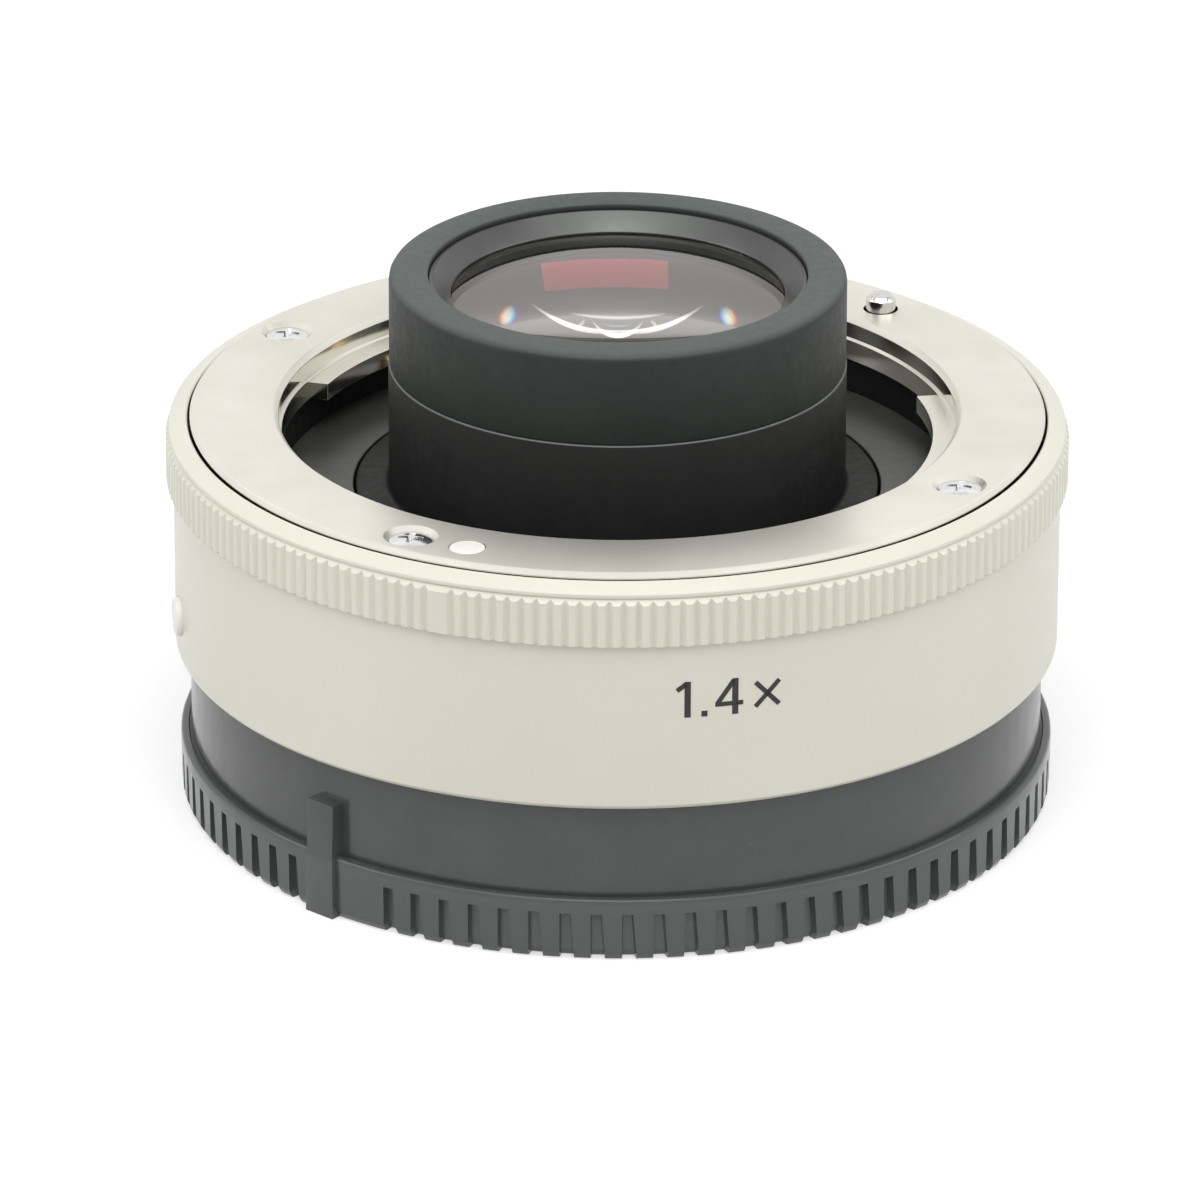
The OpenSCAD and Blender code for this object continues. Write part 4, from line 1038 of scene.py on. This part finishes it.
bpy.ops.mesh.primitive_plane_add(size=FLOOR_SIZE)
ground = bpy.context.object
ground.name = "studio_floor"
floor_white, tree, shader, place = new_finish("floor_white")
feed(tree, shader, Base_Color=tinted(tree, grain(tree, place, 6), (0.60, 0.60, 0.60), (0.62, 0.62, 0.62)),
     Roughness=0.9, Specular_IOR_Level=0.0, Emission_Color=(1, 1, 1, 1),
     Emission_Strength=between(tree, shown(tree), 0.0, FLOOR_GLOW, 0, 1))
ground.data.materials.append(floor_white)
print("floor of", FLOOR_SIZE, "m laid")

# %% A rose card behind the nose, for the glass to mirror
CARD_AT, CARD_W, CARD_H, CARD_FLARE = Vector((-1.5, 45.0, 53.7)) * MM, 13.8, 13.5, 1.18
bpy.ops.object.select_all(action="DESELECT")
bpy.ops.mesh.primitive_plane_add(size=MM, location=CARD_AT, rotation=(math.pi / 2, 0, 0))
card = bpy.context.object
card.name = "rose_card"
card.scale = (CARD_W, CARD_H, 1)
bpy.ops.object.mode_set(mode="EDIT")
pick(card, "verts", lambda v: v.co.y > 0)
bpy.ops.transform.resize(value=(CARD_FLARE, 1, 1))
bpy.ops.object.mode_set(mode="OBJECT")
rose, tree, shader, place = new_finish("rose")
feed(tree, shader, Base_Color=(0, 0, 0, 1), Specular_IOR_Level=0.0, Emission_Strength=1.0,
     Emission_Color=tinted(tree, grain(tree, place, 8), (1.90, 1.03, 1.01), (2.10, 1.19, 1.17)))
card.data.materials.append(rose)
card.visible_camera = card.visible_diffuse = card.visible_shadow = card.visible_transmission = False
lit_by_card = bpy.data.collections.new("lit_by_card")
lit_by_card.objects.link(front_glass)
card.light_linking.receiver_collection = lit_by_card
print("card of", CARD_W, "mm for the glass")

# %% [markdown]
# ## Three rooms in one
# The camera and the mirrors see a white room that darkens towards its ceiling. A softer, even level lights
# the object, so that colours keep their written value. Through glass a third picture shows, drawn on grey:
# two curved stripes for the crescents, and on each side a spot for a ghost, with its colours a little apart.

# %% White room and even light
AMBIENT, CEILING = 0.30, 0.45
WALL_SIN, CEILING_SIN = 0.55, 0.80
world = bpy.data.worlds.new("studio")
bpy.context.scene.world = world
world.use_nodes = True
tree = world.node_tree
tree.nodes.clear()
around = tree.nodes.new("ShaderNodeTexCoord").outputs["Generated"]
aside, _, height = add(tree, "SeparateXYZ", Vector=around).outputs
backdrop = add(tree, "Background", Color=(1, 1, 1, 1),
               Strength=between(tree, height, 1.0, CEILING, WALL_SIN, CEILING_SIN))
ambient = add(tree, "Background", Color=(1, 1, 1, 1), Strength=AMBIENT)
print("even light of", AMBIENT, "under a ceiling of", CEILING)

# %% What the glass looks into
GLASS_REST, EDGE_SOFT, ARC_FULL, ARC_END = 0.40, 0.010, 0.0025, 0.0045
ARCS = (((4.0, 70.0), (9.8, 45.0), 1.3), ((15.2, 26.0), (16.2, 14.0), 0.6))
GHOST_ASIDE, GHOST_HIGH, GHOST_WIDE, GHOST_TALL = 0.087, 0.29, 0.0065, 0.055
GHOST_LEVEL, GHOST_LEAN, GHOST_SPLIT = 1.4, 0.17, 0.0018
square = calc(tree, "MULTIPLY", aside, aside)


def past(degrees, bend):
    """0 under a bent line and 1 over it; at the middle the line is that many degrees high."""
    line = math.sin(math.radians(degrees))
    flat = calc(tree, "MULTIPLY_ADD", square, -bend, height)
    return between(tree, flat, 0.0, 1.0, line - EDGE_SOFT / 2, line + EDGE_SOFT / 2)


def ghost(shift):
    """An oval spot on each side, shifted outwards."""
    above = calc(tree, "SUBTRACT", height, GHOST_HIGH)
    beside = calc(tree, "SUBTRACT", calc(tree, "ABSOLUTE", aside), GHOST_ASIDE + shift)
    across = calc(tree, "DIVIDE", calc(tree, "MULTIPLY_ADD", above, GHOST_LEAN, beside), GHOST_WIDE)
    along = calc(tree, "DIVIDE", above, GHOST_TALL)
    away = calc(tree, "MULTIPLY_ADD", across, across, calc(tree, "MULTIPLY", along, along))
    return between(tree, away, GHOST_LEVEL, 0.0, 0.0, 1.0)


ahead_only = between(tree, square, 1.0, 0.0, ARC_FULL, ARC_END)
glow = GLASS_REST
for low_edge, high_edge, level in ARCS:
    stripe = calc(tree, "MAXIMUM", calc(tree, "SUBTRACT", past(*low_edge), past(*high_edge)), 0)
    glow = calc(tree, "MULTIPLY_ADD", calc(tree, "MULTIPLY", stripe, ahead_only), level, glow)
red, green, blue = (calc(tree, "ADD", glow, ghost(shift)) for shift in (GHOST_SPLIT, 0, -GHOST_SPLIT))
colours = add(tree, "CombineColor", Red=red, Green=green, Blue=blue)
through = add(tree, "Background", Color=colours.outputs["Color"], Strength=1.0)
print(len(ARCS), "stripes drawn for the glass")


# %% Put the rooms together
def blend(share, first, second):
    """A mix of two backgrounds."""
    mixed = add(tree, "MixShader", Fac=share)
    tree.links.new(first.outputs[0], mixed.inputs[1])
    tree.links.new(second.outputs[0], mixed.inputs[2])
    return mixed


seen = blend(shown(tree), ambient, backdrop)
in_glass = add(tree, "LightPath").outputs["Is Transmission Ray"]
out = tree.nodes.new("ShaderNodeOutputWorld")
tree.links.new(blend(in_glass, seen, through).outputs["Shader"], out.inputs["Surface"])
print("world has", len(tree.nodes), "nodes")

# %% [markdown]
# ## Lamps
# The main light is one large soft box above, with a brighter middle. Two boxes fill the sides, and a weak one
# stands behind. Bare steel would mirror them as burnt patches, so light linking keeps them off the mount and
# gives it a wide, dim box of its own.

# %% Soft boxes
AIM = Vector((0, 0, 0.02))


def softbox(name, place, width, height, power):
    """A rectangular lamp that looks at the object."""
    bpy.ops.object.light_add(type="AREA", location=place)
    lamp = bpy.context.object
    lamp.name = name
    lamp.data.shape = "RECTANGLE"
    lamp.data.size, lamp.data.size_y = width, height
    lamp.data.energy = power
    lamp.rotation_euler = (AIM - Vector(place)).to_track_quat("-Z", "Y").to_euler()
    lamp.visible_transmission = False
    return lamp


lamps = [
    softbox("left_box", (-0.6, -0.1, 0.35), 0.5, 0.5, 1.3),
    softbox("right_box", (0.6, -0.1, 0.35), 0.5, 0.5, 1.3),
    softbox("key_box", (0.0, -0.36, 0.77), 1.2, 1.2, 6.2),
    softbox("key_middle", (0.0, -0.355, 0.76), 0.35, 0.35, 0.9),
    softbox("back_box", (0.0, 0.45, 0.60), 0.6, 0.4, 0.3)]
steel_box = softbox("steel_box", (0.0, 0.0, 0.8), 2.0, 2.0, 7.5)
for name, boxes, state in (("all_but_mount", lamps, "EXCLUDE"), ("mount_alone", [steel_box], "INCLUDE")):
    receivers = bpy.data.collections.new(name)
    receivers.objects.link(mount)
    receivers.collection_objects[0].light_linking.link_state = state
    for lamp in boxes:
        lamp.light_linking.receiver_collection = receivers
bpy.context.scene.view_settings.view_transform = "Standard"
print("studio lit by", len(lamps) + 1, "boxes")
